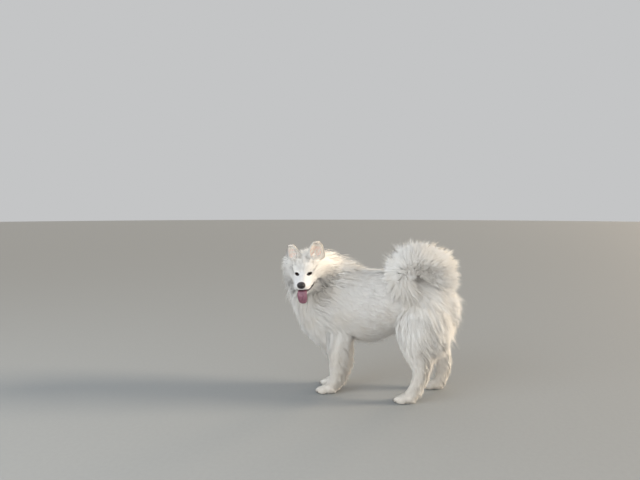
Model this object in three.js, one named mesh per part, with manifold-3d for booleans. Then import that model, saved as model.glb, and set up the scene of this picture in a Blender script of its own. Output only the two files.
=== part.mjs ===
// A samoyed standing still at life size, in millimetres: +Z is up, it heads along -Y and its left side is +X.
// Its head is turned to its left, its tongue hangs out, and its tail curls over the back onto the left side.
// Flesh is a set of lofts along spines. The long coat has a solid core and flat locks laid over it.
import * as THREE from "three";
import { mergeVertices } from "three/addons/utils/BufferGeometryUtils.js";
import Module from "manifold-3d";

const wasm = await Module();
wasm.setup();

// Driving dimensions
const GAP = 0.3; // between sub-parts that meet
const FORE_FEET = { x: 52, y: -212 };
const HIND_FEET = { x: 101, leftY: 148, rightY: 277 };
const ANKLE_Z = 52; // where the paws begin
const HOCK_TOP_Z = 226; // where the thighs end
const HEAD = {
  eyes: [185, -294, 579], // the point midway between the eyes
  yaw: 92.5, // degrees turned to the dog's left
  pitch: 12, // degrees the nose drops
  roll: 3, // degrees tipped to the dog's right
};
const EYE = { x: 27, y: -2, z: 0, radius: 11.5, lid: 2.2, opening: [12.5, 20, 6.6], tilt: 14 };
const NOSE = { y: -86, z: -29, radii: [16, 11, 13.5] };
const EAR = { x: 46, y: 50, baseZ: 46, height: 78, droop: 12, lean: 6, turn: 36 };
const PAW = { pad: [31, 38, 30], toe: [11, 19, 16], clawRadius: 2.6, clawLength: 13 };
const CORE_SHARE = 0.45; // how far the long coat's core reaches towards its tips
const LEG_SHARE = 0.6; // the same for the shorter coat of the legs
const JAW_SHARE = 0.8;
const LIP_PROUD = 1.8; // how far the lips stand out from the face

const X_AXIS = new THREE.Vector3(1, 0, 0);

// An oval ring swept along a spine. A station is [centre], [half width, up, down] of the flesh and
// [side, up, down] of the coat over it. The share says how much of the coat the form takes in, and ends
// are the lengths of its round caps, [flesh, coat]. Past an end the coat narrows, down to the taper.
class Loft {
  constructor(stations, settings = {}) {
    const curve = (column) => new THREE.CatmullRomCurve3(
      stations.map((station) => new THREE.Vector3(...(station[column] ?? [0, 0, 0]))), false, "catmullrom",
    );
    this.centres = curve(0);
    this.halves = curve(1);
    this.coats = curve(2);
    Object.assign(this, {
      share: 0, side: X_AXIS, square: 1, around: 16, along: 12, frame: null,
      ends: [[30, 0], [30, 0]], taper: 0.3, ...settings,
    });
  }

  // The ring at t, from 0 at the first station to 1 at the last, and on over the round cap past either end.
  ring(t, share = this.share) {
    const held = THREE.MathUtils.clamp(t, 0, 1);
    const tangent = this.centres.getTangent(held);
    const side = this.side.clone().addScaledVector(tangent, -this.side.dot(tangent)).normalize();
    const up = side.clone().cross(tangent);
    const half = this.halves.getPoint(held).addScaledVector(this.coats.getPoint(held), share);
    const past = (t - held) * this.speed(held);
    const [flesh, coat] = this.ends[past < 0 ? 0 : 1];
    half.multiplyScalar(Math.sqrt(Math.max(this.taper, 1 - (past / (flesh + coat * share + 1e-6)) ** 2)));
    const centre = this.centres.getPoint(held).addScaledVector(tangent, past);
    return { centre, tangent, side, up, half };
  }

  // Millimetres along the spine for each unit of t.
  speed(t) {
    const [from, to] = [Math.max(t - 0.01, 0), Math.min(t + 0.01, 1)];
    return this.centres.getPoint(from).distanceTo(this.centres.getPoint(to)) / (to - from);
  }

  // A point of a ring at angle a: 0 on the side axis, a quarter turn on the up axis.
  point({ centre, side, up, half }, a, size = 1) {
    const squared = (value) => Math.sign(value) * Math.abs(value) ** this.square;
    const height = Math.sin(a) > 0 ? half.y : half.z;
    return centre.clone()
      .addScaledVector(side, half.x * squared(Math.cos(a)) * size)
      .addScaledVector(up, height * squared(Math.sin(a)) * size);
  }

  // A point over the loft: lift 0 is on the flesh and 1 at the tips of the coat.
  over(t, a, lift) {
    const place = this.point(this.ring(t, lift), a);
    return this.frame ? place.applyMatrix4(this.frame) : place;
  }

  geometry(grow = 0) {
    const capSteps = 3;
    const [front, back] = this.ends.map(([flesh, coat]) => flesh + coat * this.share + grow);
    const rows = [];
    const addRow = (t, offset, size) => {
      const ring = this.ring(t);
      ring.centre.addScaledVector(ring.tangent, offset);
      ring.half.addScalar(grow);
      rows.push({ ring, size });
    };
    for (let k = 1; k < capSteps; k += 1) {
      const turn = (k / capSteps) * (Math.PI / 2);
      addRow(0, -front * Math.cos(turn), Math.sin(turn));
    }
    for (let k = 0; k <= this.along; k += 1) {
      addRow(k / this.along, 0, 1);
    }
    for (let k = 1; k < capSteps; k += 1) {
      const turn = (k / capSteps) * (Math.PI / 2);
      addRow(1, back * Math.sin(turn), Math.cos(turn));
    }
    const first = this.ring(0);
    const last = this.ring(1);
    const points = [first.centre.addScaledVector(first.tangent, -front)];
    for (const { ring, size } of rows) {
      for (let k = 0; k < this.around; k += 1) {
        points.push(this.point(ring, (k / this.around) * 2 * Math.PI, size));
      }
    }
    points.push(last.centre.addScaledVector(last.tangent, back));
    const at = (row, k) => 1 + row * this.around + (k % this.around);
    const index = [];
    for (let k = 0; k < this.around; k += 1) {
      index.push(0, at(0, k), at(0, k + 1));
      index.push(points.length - 1, at(rows.length - 1, k + 1), at(rows.length - 1, k));
      for (let row = 0; row < rows.length - 1; row += 1) {
        index.push(at(row, k), at(row + 1, k), at(row + 1, k + 1));
        index.push(at(row, k), at(row + 1, k + 1), at(row, k + 1));
      }
    }
    const geometry = new THREE.BufferGeometry().setFromPoints(points).setIndex(index);
    return this.frame ? geometry.applyMatrix4(this.frame) : geometry;
  }

  solid(grow = 0) {
    return solidOf(this.geometry(grow));
  }
}

// A closed geometry as a solid that can be joined and cut.
function solidOf(geometry) {
  const bare = new THREE.BufferGeometry();
  bare.setAttribute("position", geometry.getAttribute("position"));
  bare.setIndex(geometry.index);
  const merged = mergeVertices(bare, 1e-3);
  const made = new wasm.Manifold(new wasm.Mesh({
    numProp: 3,
    vertProperties: new Float32Array(merged.getAttribute("position").array),
    triVerts: new Uint32Array(merged.index.array),
  }));
  return made.volume() < 0 ? solidOf(turnedOut(merged)) : made;
}

// The same geometry with every face turned round.
function turnedOut(geometry) {
  const index = Array.from(geometry.index.array);
  for (let k = 0; k < index.length; k += 3) {
    [index[k + 1], index[k + 2]] = [index[k + 2], index[k + 1]];
  }
  return geometry.clone().setIndex(index);
}

const join = (...solids) => solids.flat().reduce((all, one) => all.add(one));
const cut = (solid, ...tools) => tools.flat().reduce((left, tool) => left.subtract(tool), solid);

// A solid's largest closed surface, without scraps or sealed hollows.
function largest(solid) {
  return solid.decompose().sort((a, b) => b.volume() - a.volume())[0];
}

function ellipsoid(centre, radii, { frame = null, turn = [0, 0, 0], detail = [12, 8] } = {}) {
  const geometry = new THREE.SphereGeometry(1, ...detail).scale(...radii);
  geometry.applyMatrix4(new THREE.Matrix4().makeRotationFromEuler(new THREE.Euler(...turn)));
  geometry.translate(...centre);
  return solidOf(frame ? geometry.applyMatrix4(frame) : geometry);
}

// A large block that fills everything on one side of a level.
function slabOfSpace(from, to) {
  return solidOf(new THREE.BoxGeometry(2000, 2000, to - from).translate(0, 0, (from + to) / 2));
}

// Torso: from the forechest back to the rump.
const torso = new Loft([
  [[0, -300, 405], [58, 62, 62], [50, 50, 60]],
  [[0, -255, 410], [80, 98, 98], [50, 46, 66]],
  [[0, -190, 425], [94, 132, 118], [48, 48, 64]],
  [[0, -110, 430], [103, 130, 128], [44, 46, 62]],
  [[0, -20, 436], [105, 118, 120], [42, 40, 60]],
  [[0, 60, 448], [98, 104, 98], [42, 38, 56]],
  [[0, 130, 455], [92, 92, 88], [46, 38, 48]],
  [[0, 200, 450], [88, 84, 88], [50, 40, 42]],
  [[0, 255, 438], [68, 64, 74], [60, 48, 46]],
], { share: CORE_SHARE, ends: [[32, 48], [30, 74]], around: 18, along: 13 });

// Bib: the apron of long hair from the throat down between the forelegs. Up on its rings faces back.
const bib = new Loft([
  [[50, -290, 512], [60, 40, 44], [52, 20, 68]],
  [[22, -292, 450], [70, 50, 50], [50, 20, 56]],
  [[6, -282, 385], [72, 50, 46], [48, 20, 52]],
  [[0, -258, 322], [62, 44, 38], [46, 20, 50]],
  [[0, -232, 268], [46, 34, 28], [38, 18, 42]],
], { share: CORE_SHARE, ends: [[44, 6], [8, 30]], around: 14, along: 6 });

// Rump: the hair that falls from the croup behind the thighs. Up on its rings faces back.
const rump = new Loft([
  [[0, 236, 506], [48, 30, 30], [44, 66, 10]],
  [[0, 258, 460], [60, 36, 40], [50, 80, 10]],
  [[0, 266, 410], [62, 38, 40], [50, 84, 10]],
  [[0, 256, 355], [52, 32, 36], [42, 82, 10]],
  [[0, 243, 308], [36, 25, 28], [32, 78, 12]],
], { share: CORE_SHARE, ends: [[6, 10], [6, 34]], around: 14, along: 6 });

// Neck: from inside the shoulders up and to the left, into the back of the skull.
const neck = new Loft([
  [[0, -170, 475], [74, 74, 86], [55, 45, 60]],
  [[12, -232, 505], [76, 72, 88], [62, 48, 68]],
  [[48, -276, 545], [72, 66, 82], [66, 42, 72]],
  [[86, -296, 571], [50, 46, 54], [70, 46, 74]],
], {
  share: CORE_SHARE, side: new THREE.Vector3(0.75, 0.66, 0), ends: [[20, 0], [10, 14]],
  around: 16, along: 6,
});

// The head is modelled about the point midway between the eyes, nose along -Y, and then turned into place.
const degrees = THREE.MathUtils.degToRad;
const headFrame = new THREE.Matrix4()
  .makeTranslation(...HEAD.eyes)
  .multiply(new THREE.Matrix4().makeRotationZ(degrees(HEAD.yaw)))
  .multiply(new THREE.Matrix4().makeRotationX(degrees(HEAD.pitch)))
  .multiply(new THREE.Matrix4().makeRotationY(degrees(-HEAD.roll)));

const skull = new Loft([
  [[0, -84, -35], [24, 17, 16], [2, 1, 2]],
  [[0, -72, -35], [30, 21, 21], [3, 2, 2]],
  [[0, -52, -33], [34, 24, 26], [4, 2, 3]],
  [[0, -32, -30], [38, 26, 29], [5, 2, 4]],
  [[0, -14, -24], [43, 29, 33], [6, 3, 5]],
  [[0, 2, -13], [50, 35, 42], [8, 5, 9]],
  [[0, 22, -4], [57, 47, 53], [18, 12, 22]],
  [[0, 56, 0], [61, 55, 62], [42, 22, 50]],
  [[0, 92, -6], [60, 50, 58], [58, 28, 64]],
  [[0, 124, -14], [46, 40, 46], [48, 26, 50]],
], {
  share: CORE_SHARE, square: 0.9, ends: [[8, 2], [6, 10]], taper: 0.9, around: 16, along: 13,
  frame: headFrame,
});

const jaw = new Loft([
  [[0, -62, -62], [18, 14, 13], [3, 0, 5]],
  [[0, -40, -61], [24, 16, 16], [4, 0, 9]],
  [[0, -10, -56], [31, 20, 20], [6, 0, 16]],
  [[0, 20, -48], [32, 22, 26], [10, 0, 24]],
], { share: JAW_SHARE, square: 0.9, ends: [[8, 2], [40, 0]], around: 12, along: 4, frame: headFrame });

// The mouth seen from the side: each row is [y, upper lip, lower lip], from the front to the corner.
const MOUTH = [[-110, -51, -60], [-72, -52, -61], [-40, -50, -57], [-14, -44, -47], [5, -37, -37.3]];
const JAW_HINGE = [[22, -47], [44, -120]]; // where the parting runs on behind the corner

// A prism across the head whose outline is given as [y, z] points.
function acrossHead(outline, halfWidth = 110) {
  const shape = new THREE.Shape(outline.map(([y, z]) => new THREE.Vector2(y, z)));
  const geometry = new THREE.ExtrudeGeometry(shape, { depth: 2 * halfWidth, bevelEnabled: false });
  // The outline's first axis becomes y, its second z, and the extrusion runs along x.
  geometry.applyMatrix4(new THREE.Matrix4().makeBasis(
    new THREE.Vector3(0, 1, 0), new THREE.Vector3(0, 0, 1), new THREE.Vector3(1, 0, 0),
  ));
  return solidOf(geometry.translate(-halfWidth, 0, 0).applyMatrix4(headFrame));
}

function mouthBand(spread) {
  const top = MOUTH.map(([y, upper]) => [y, upper + spread]);
  const bottom = MOUTH.map(([y, , lower]) => [y, lower - spread]).reverse();
  return acrossHead([...top, ...bottom]);
}

function mouthParting() {
  const top = [...MOUTH.map(([y, upper]) => [y, upper]), ...JAW_HINGE.map(([y, z]) => [y, z + GAP])];
  const bottom = [...MOUTH.map(([y, , lower]) => [y, lower]), ...JAW_HINGE].map(([y, z], k) => [
    k >= MOUTH.length ? y - GAP : y, z,
  ]);
  return acrossHead([...top, ...bottom.reverse()]);
}

function ear(sign) {
  const rows = [
    [-0.28, 28, 15], [0.02, 41, 19], [0.28, 40, 17], [0.58, 31, 13], [0.82, 19, 9.5], [0.96, 9, 6.5],
  ];
  const height = sign > 0 ? EAR.height : EAR.height - EAR.droop; // the right ear is held lower
  const spine = (s, forward = 0) => [
    sign * (EAR.x + 2 * EAR.lean * s), EAR.y - 5 * s - forward, EAR.baseZ + height * s,
  ];
  const turned = degrees(sign * EAR.turn);
  const settings = {
    side: new THREE.Vector3(Math.cos(turned), Math.sin(turned), 0), frame: headFrame, around: 8, along: 5,
  };
  const outer = new Loft(rows.map(([s, half, depth]) => [spine(s), [half, depth, depth]]), {
    ...settings, ends: [[6, 0], [4, 0]],
  });
  const hollow = new Loft(rows.slice(1, 5).map(([s, half, depth]) => [
    spine(s + 0.06, depth * 0.7 + 1), [half * 0.72, depth * 0.85, depth * 0.85],
  ]), { ...settings, ends: [[2, 0], [5, 0]] });
  return { outer, hollow };
}

function eyeAt(sign, grow = 0) {
  const { x, y, z, radius } = EYE;
  const size = radius + grow;
  return ellipsoid([sign * x, y, z], [size, size, size], { frame: headFrame, detail: [12, 6] });
}

// The almond opening between the lids, its outer corner raised.
function lidOpening(sign) {
  const { x, y, z, opening, tilt } = EYE;
  return ellipsoid([sign * (x + 1), y - 12, z], opening, {
    frame: headFrame, turn: [0, degrees(-sign * tilt), 0], detail: [12, 6],
  });
}

const noseBody = (grow = 0) => ellipsoid(
  [0, NOSE.y, NOSE.z], NOSE.radii.map((radius) => radius + grow), { frame: headFrame, detail: [10, 6] },
);

// Tail: up from the croup, forward over the back and down on the left side. Up on these rings faces
// the inside of the curl.
const tail = new Loft([
  [[0, 232, 492], [24, 24, 24], [30, 24, 44]],
  [[4, 264, 542], [22, 22, 24], [50, 42, 74]],
  [[18, 260, 588], [20, 20, 22], [62, 50, 78]],
  [[42, 226, 612], [18, 18, 20], [66, 54, 78]],
  [[68, 180, 614], [17, 17, 18], [66, 54, 84]],
  [[92, 142, 594], [15, 15, 16], [66, 50, 92]],
  [[108, 128, 556], [13, 13, 13], [60, 44, 88]],
  [[120, 138, 520], [10, 10, 10], [52, 34, 70]],
], { share: CORE_SHARE, ends: [[10, 0], [10, 40]], around: 12, along: 14 });

// A foreleg: upper arm inside the chest, elbow, wrist and pastern. Up on these rings faces back.
function foreleg(sign) {
  const { x, y } = FORE_FEET;
  return new Loft([
    [[sign * 52, y + 6, 372], [26, 40, 40], [14, 14, 20]],
    [[sign * 60, y + 48, 305], [30, 42, 46], [20, 28, 28]],
    [[sign * 60, y + 46, 240], [26, 32, 33], [15, 38, 26]],
    [[sign * 57, y + 38, 160], [21, 24, 24], [11, 38, 12]],
    [[sign * 54, y + 34, 95], [20, 21, 21], [9, 22, 8]],
    [[sign * x, y + 24, 52], [20, 19, 20], [8, 12, 7]],
    [[sign * x, y + 12, 28], [22, 18, 22], [6, 6, 6]],
  ], { share: LEG_SHARE, ends: [[20, 0], [10, 0]], around: 9, along: 9 });
}

// A hind leg: hip, stifle, hock and metatarsus. The right one stands further back.
function hindleg(sign, y) {
  const back = (y - HIND_FEET.leftY) / (HIND_FEET.rightY - HIND_FEET.leftY);
  return new Loft([
    [[sign * 58, 200 + 14 * back, 468], [40, 56, 52], [34, 50, 24]],
    [[sign * 74, 196 + 18 * back, 400], [46, 74, 72], [36, 60, 28]],
    [[sign * 88, 182 + 32 * back, 328], [39, 66, 70], [30, 58, 30]],
    [[sign * 96, 172 + 66 * back, 252], [30, 42, 44], [19, 44, 14]],
    [[sign * 99, 186 + 98 * back, 190], [23, 28, 28], [12, 26, 9]],
    [[sign * 100, 198 + 108 * back, 145], [20, 24, 22], [9, 13, 8]],
    [[sign * 101, 190 + 116 * back, 95], [18, 18, 19], [8, 18, 7]],
    [[sign * 101, 174 + 126 * back, 52], [20, 18, 20], [8, 16, 7]],
    [[sign * 101, 160 + 129 * back, 28], [22, 18, 22], [6, 6, 6]],
  ], { share: LEG_SHARE, ends: [[24, 10], [10, 0]], around: 10, along: 10 });
}

// A paw about its foot's centre on the floor: pad, four toes and their claws, cut flat at the floor.
function paw(x, y) {
  const forms = [ellipsoid([x, y + 5, 24], PAW.pad, { detail: [8, 5] })];
  for (const [toeX, toeY] of [[-21, -24], [-8, -33], [8, -33], [21, -24]]) {
    forms.push(ellipsoid([x + toeX, y + toeY, 14], PAW.toe, { detail: [6, 4] }));
    const claw = new THREE.ConeGeometry(PAW.clawRadius, PAW.clawLength, 4).rotateX(-Math.PI / 2 - 0.5);
    forms.push(solidOf(claw.translate(x + toeX, y + toeY - 19, 8)));
  }
  return join(forms);
}

// Cores: each one is carved clear of the ones it meets
const pair = [["left", 1], ["right", -1]];
const torsoCore = join(torso.solid(), bib.solid(), rump.solid());
const torsoClear = join(torso.solid(GAP), bib.solid(GAP), rump.solid(GAP));
const ears = { left: ear(1), right: ear(-1) };
const face = join(skull.solid(), jaw.solid());
const faceClear = join(skull.solid(GAP), jaw.solid(GAP));
const lips = join(skull.solid(LIP_PROUD), jaw.solid(LIP_PROUD)).intersect(mouthBand(3));
const lids = [1, -1].map((sign) => eyeAt(sign, EYE.lid));
const opened = cut(
  join(face, lips, lids), [1, -1].map((sign) => eyeAt(sign, GAP)), [1, -1].map(lidOpening), noseBody(GAP),
  mouthParting(),
);
const [headCore, jawCore] = opened.decompose().sort((a, b) => b.volume() - a.volume());
const earsClear = pair.map(([name]) => ears[name].outer.solid(GAP));
const neckCore = largest(cut(neck.solid(), torsoClear, faceClear, earsClear));

const tongue = new Loft([
  [[0, -36, -54], [15, 2.2, 2]],
  [[0, -62, -56.5], [18, 2.4, 2.2]],
  [[0, -80, -61], [20, 3, 2.6]],
  [[0, -87, -76], [21, 3.2, 3]],
  [[0, -87, -94], [20, 3, 3]],
  [[0, -84, -108], [15, 2.6, 2.6]],
], { square: 0.8, frame: headFrame, around: 8, along: 7, ends: [[3, 0], [5, 0]] });

const nostrils = [1, -1].map((sign) => ellipsoid([sign * 7.5, NOSE.y - 10, NOSE.z - 1], [4.2, 8, 2.8], {
  frame: headFrame, turn: [0, sign * 0.5, 0], detail: [8, 5],
}));

// A thin plate across a loft at t, just wide enough to part it.
function parting(loft, t) {
  const { centre, tangent, side, up, half } = loft.ring(t);
  const middle = centre.clone().addScaledVector(up, (half.y - half.z) / 2);
  const geometry = new THREE.BoxGeometry(2 * half.x + 8, half.y + half.z + 8, GAP);
  geometry.applyMatrix4(new THREE.Matrix4().makeBasis(side, up, tangent.clone().negate()));
  return solidOf(geometry.translate(middle.x, middle.y, middle.z));
}

// The piece that a point lies in.
function pieceAt(pieces, point) {
  const probe = ellipsoid([point.x, point.y, point.z], [2, 2, 2], { detail: [4, 3] });
  return pieces.find((piece) => !piece.intersect(probe).isEmpty());
}

const solids = {
  torso: torsoCore,
  neck: neckCore,
  head: largest(cut(headCore, torsoClear, tongue.solid(GAP))),
  lower_jaw: largest(cut(jawCore, tongue.solid(GAP))),
  nose: largest(cut(noseBody(), nostrils)),
  tongue: tongue.solid(),
};
for (const [name, sign] of pair) {
  solids[`eye_${name}`] = eyeAt(sign);
  solids[`ear_${name}`] = largest(cut(ears[name].outer.solid(), ears[name].hollow.solid(), skull.solid(GAP)));
}

// The tail in three lengths
const TAIL_PARTINGS = [0.36, 0.68];
const tailCore = largest(cut(tail.solid(), torsoClear));
const tailPieces = cut(tailCore, TAIL_PARTINGS.map((t) => parting(tail, t))).decompose();
solids.tail_root = pieceAt(tailPieces, tail.ring(0.25).centre);
solids.tail_middle = pieceAt(tailPieces, tail.ring(0.52).centre);
solids.tail_tip = pieceAt(tailPieces, tail.ring(0.84).centre);

const below = (z) => slabOfSpace(-200, z);
const above = (z) => slabOfSpace(z, 900);
for (const [name, sign] of pair) {
  const { x: foreX, y: foreY } = FORE_FEET;
  const hindX = HIND_FEET.x;
  const hindY = HIND_FEET[`${name}Y`];
  const fore = foreleg(sign).solid();
  const hind = hindleg(sign, hindY).solid();
  solids[`foreleg_${name}`] = largest(cut(fore, torsoClear, below(ANKLE_Z + GAP / 2)));
  const forePaw = join(fore, paw(sign * foreX, foreY));
  const hindPaw = join(hind, paw(sign * hindX, hindY));
  solids[`forepaw_${name}`] = largest(cut(forePaw, below(0), above(ANKLE_Z - GAP / 2)));
  solids[`thigh_${name}`] = largest(cut(hind, torsoClear, below(HOCK_TOP_Z + GAP / 2)));
  solids[`hindleg_${name}`] = largest(cut(hind, below(ANKLE_Z + GAP / 2), above(HOCK_TOP_Z - GAP / 2)));
  solids[`hindpaw_${name}`] = largest(cut(hindPaw, below(0), above(ANKLE_Z - GAP / 2)));
}

// Locks of the long coat

// Seeded variation, the same at every build.
function variation(seed) {
  let state = seed;
  return (spread) => {
    state = (state * 1664525 + 1013904223) % 4294967296;
    return (state / 2147483648 - 1) * spread;
  };
}

// Rings of a lock from its root: [share of the length, of the width, of the thickness].
const LOCK_RINGS = [[0, 0.72, 0.9], [0.36, 1, 1], [0.72, 0.78, 0.8]];
const ROOT_DEPTH = 10; // how far a root is sunk in the core
const LOCK_CLEARANCE = 0.45; // kept between a lock and every other node
const FLOOR_CLEARANCE = 1;

// A flat tapering ribbon rooted at (t, a). It leaves the core at a slant and lies along the loft, towards
// the last station where lie is 1. Sweep turns it round the loft as it goes, away from the side axis.
function lock(loft, { t, a, length, width, thick, lie, sweep, tip, rise = 0.8 }, spare = 0) {
  const along = (lie * length) / loft.speed(THREE.MathUtils.clamp(t, 0, 1));
  const skinPoint = loft.over(t, a, 0);
  const depth = loft.over(t, a, 1).distanceTo(skinPoint);
  const rootLift = loft.share - ROOT_DEPTH / depth;
  const radius = loft.over(t, a, 0.7).distanceTo(loft.over(t, a + Math.PI, 0.7)) / 2;
  const turn = (sweep * Math.cos(a) * length) / radius;
  const at = (s, shift) => {
    const lift = rootLift + (tip - rootLift) * Math.max(s, 0) ** rise;
    return loft.over(t + along * s, a + turn * s + shift / radius, lift);
  };
  const points = [];
  for (const [s, wide, deep] of LOCK_RINGS) {
    const reach = s === 0 ? -spare / length : s;
    const [left, middle, right] = [-1, 0, 1].map((edge) => at(reach, edge * ((width * wide) / 2 + spare)));
    const normal = right.clone().sub(left).cross(at(s + 0.05, 0).sub(at(s, 0))).normalize();
    const outward = middle.clone().sub(loft.over(t + along * s, a + turn * s, -0.5));
    normal.multiplyScalar(normal.dot(outward) < 0 ? -1 : 1);
    points.push(left.addScaledVector(normal, -spare), right.addScaledVector(normal, -spare));
    points.push(middle.addScaledVector(normal, thick * deep + spare));
  }
  points.push(at(1 + spare / length, 0));
  const index = [0, 1, 2];
  for (let row = 0; row < LOCK_RINGS.length - 1; row += 1) {
    for (let k = 0; k < 3; k += 1) {
      const [p, q] = [row * 3 + k, row * 3 + ((k + 1) % 3)];
      index.push(p, q + 3, q, p, p + 3, q + 3);
    }
  }
  const last = (LOCK_RINGS.length - 1) * 3;
  for (let k = 0; k < 3; k += 1) {
    index.push(last + k, points.length - 1, last + ((k + 1) % 3));
  }
  return solidOf(new THREE.BufferGeometry().setFromPoints(points).setIndex(index));
}

// Whether a solid comes within the spare of any node but its own.
function meetsAnother(solid, own) {
  const mine = solid.boundingBox();
  return Object.entries(solids).some(([name, other]) => {
    if (name === own) {
      return false;
    }
    const theirs = other.boundingBox();
    const apart = [0, 1, 2].some((axis) => (
      mine.max[axis] < theirs.min[axis] || theirs.max[axis] < mine.min[axis]
    ));
    return !apart && !solid.intersect(other).isEmpty();
  });
}

// What is tried in turn for a lock that would meet a neighbour: [added to the tip's lift, length share].
const WAYS_ROUND = [[0, 1], [0.14, 0.95], [0.3, 0.95], [-0.15, 0.85], [0.45, 0.85], [-0.25, 0.7], [0.1, 0.6]];

// Lays staggered rows of locks over a loft and joins each to the node that its root is in.
function dress(loft, names, { from, to, rowStep, columnStep, where = () => true, seed, ...shape }) {
  const vary = variation(seed);
  const spine = loft.centres.getLength() * (to - from);
  const rows = Math.max(1, Math.round(spine / rowStep));
  for (let row = 0; row <= rows; row += 1) {
    const rowT = from + ((to - from) * row) / rows;
    const held = THREE.MathUtils.clamp(rowT, 0, 1);
    const { half } = loft.ring(held);
    const girth = Math.PI * (half.x + (half.y + half.z) / 2);
    const columns = Math.max(3, Math.round(girth / columnStep));
    for (let column = 0; column < columns; column += 1) {
      const a = ((column + (row % 2) / 2 + vary(0.16)) / columns) * 2 * Math.PI;
      const t = rowT + (vary(0.18) * rowStep) / loft.speed(held);
      const lengthShare = 1 + vary(0.14);
      const widthShare = 1 + vary(0.12);
      const tip = shape.tip + vary(0.07);
      if (!where(t, a)) {
        continue;
      }
      const coatDepth = loft.over(t, a, 1).distanceTo(loft.over(t, a, 0));
      const root = loft.over(t, a, loft.share - ROOT_DEPTH / 2 / coatDepth);
      const own = names.find((name) => pieceAt([solids[name]], root));
      if (!own) {
        continue;
      }
      for (const [raise, shorten] of WAYS_ROUND) {
        const size = {
          ...shape, t, a, length: shape.length * lengthShare * shorten, width: shape.width * widthShare,
          tip: tip + raise,
        };
        const roomy = lock(loft, size, LOCK_CLEARANCE);
        if (roomy.boundingBox().min[2] > FLOOR_CLEARANCE && !meetsAnother(roomy, own)) {
          solids[own] = solids[own].add(lock(loft, size));
          break;
        }
      }
    }
  }
}

const facing = (a, middle) => Math.cos(a - middle); // 1 where an angle points the middle's way
const [UP, DOWN] = [Math.PI / 2, -Math.PI / 2];
dress(skull, ["head"], {
  from: 0.66, to: 1, rowStep: 36, columnStep: 46, seed: 11, length: 96, width: 54, thick: 4, lie: 1,
  sweep: -0.2, tip: 1.3, rise: 0.6,
  where: (t, a) => facing(a, UP) < (t > 0.9 ? 0.9 : 0.4),
});
dress(neck, ["neck"], {
  from: 0.22, to: 0.98, rowStep: 56, columnStep: 68, seed: 24, length: 130, width: 68, thick: 5,
  lie: -1, sweep: -0.2, tip: 1.05, rise: 0.6,
});
dress(bib, ["torso"], {
  from: 0.04, to: 0.94, rowStep: 62, columnStep: 62, seed: 29, length: 116, width: 60, thick: 5,
  lie: 1, sweep: 0, tip: 1.08,
  where: (t, a) => facing(a, DOWN) > -0.1,
});
dress(rump, ["torso"], {
  from: 0.04, to: 0.92, rowStep: 58, columnStep: 60, seed: 31, length: 110, width: 58, thick: 5,
  lie: 1, sweep: 0, tip: 1.08,
  where: (t, a) => facing(a, UP) > 0.2,
});
dress(torso, ["torso"], {
  from: 0.14, to: 0.88, rowStep: 78, columnStep: 80, seed: 37, length: 142, width: 80, thick: 5.5,
  lie: 1, sweep: -0.35, tip: 1.02,
  where: (t, a) => t > 0.3 || facing(a, DOWN) < 0.8,
});
// The first length of the tail stays plain: its long hair hangs back from the second length.
dress(tail, ["tail_middle"], {
  from: 0.42, to: 0.48, rowStep: 60, columnStep: 56, seed: 45, length: 104, width: 50, thick: 4.5,
  lie: -0.8, sweep: -0.2, tip: 1.05, rise: 0.8,
  where: (t, a) => facing(a, DOWN) > -0.2,
});
dress(tail, ["tail_middle", "tail_tip"], {
  from: 0.44, to: 1.0, rowStep: 54, columnStep: 58, seed: 41, length: 92, width: 56, thick: 4.5,
  lie: 0.75, sweep: -0.3, tip: 1.02, rise: 0.8,
});
for (const [name, sign] of pair) {
  const hind = hindleg(sign, HIND_FEET[`${name}Y`]);
  const fore = foreleg(sign);
  const outward = (a) => sign * Math.cos(a);
  dress(hind, [`thigh_${name}`, `hindleg_${name}`], {
    from: 0.08, to: 0.56, rowStep: 60, columnStep: 60, seed: 53 + sign, length: 106, width: 58,
    thick: 5, lie: 1, sweep: 0.4, tip: 1,
    where: (t, a) => outward(a) > -0.6,
  });
  dress(hind, [`hindleg_${name}`], {
    from: 0.66, to: 0.8, rowStep: 44, columnStep: 36, seed: 61 + sign, length: 56, width: 32,
    thick: 3.5, lie: 1, sweep: 0.3, tip: 1.05,
    where: (t, a) => facing(a, UP) > 0.6,
  });
  dress(fore, [`foreleg_${name}`], {
    from: 0.14, to: 0.2, rowStep: 50, columnStep: 44, seed: 67 + sign, length: 78, width: 42,
    thick: 4, lie: 1, sweep: 0.2, tip: 1,
    where: (t, a) => outward(a) > 0.6,
  });
  dress(fore, [`foreleg_${name}`], {
    from: 0.27, to: 0.74, rowStep: 56, columnStep: 40, seed: 71 + sign, length: 84, width: 38,
    thick: 3.5, lie: 1, sweep: 0.2, tip: 1.15,
    where: (t, a) => facing(a, UP) > 0.5,
  });
}
for (const name of Object.keys(solids)) {
  solids[name] = largest(solids[name]);
}

// Finishes
const FINISHES = {
  coat: { color: 0xf3ede2, roughness: 0.95 },
  nose: { color: 0x191615, roughness: 0.45 },
  tongue: { color: 0xa9626f, roughness: 0.4 },
  eye: { color: 0x1c110b, roughness: 0.1 },
};
const finishOf = (name) => {
  const own = Object.keys(FINISHES).find((finish) => name.startsWith(finish)) ?? "coat";
  return new THREE.MeshStandardMaterial({ name: own, metalness: 0, ...FINISHES[own] });
};

function geometryOf(solid) {
  const mesh = solid.getMesh();
  const geometry = new THREE.BufferGeometry();
  geometry.setAttribute("position", new THREE.BufferAttribute(mesh.vertProperties, 3));
  geometry.setIndex(new THREE.BufferAttribute(mesh.triVerts, 1));
  return geometry;
}

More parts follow.
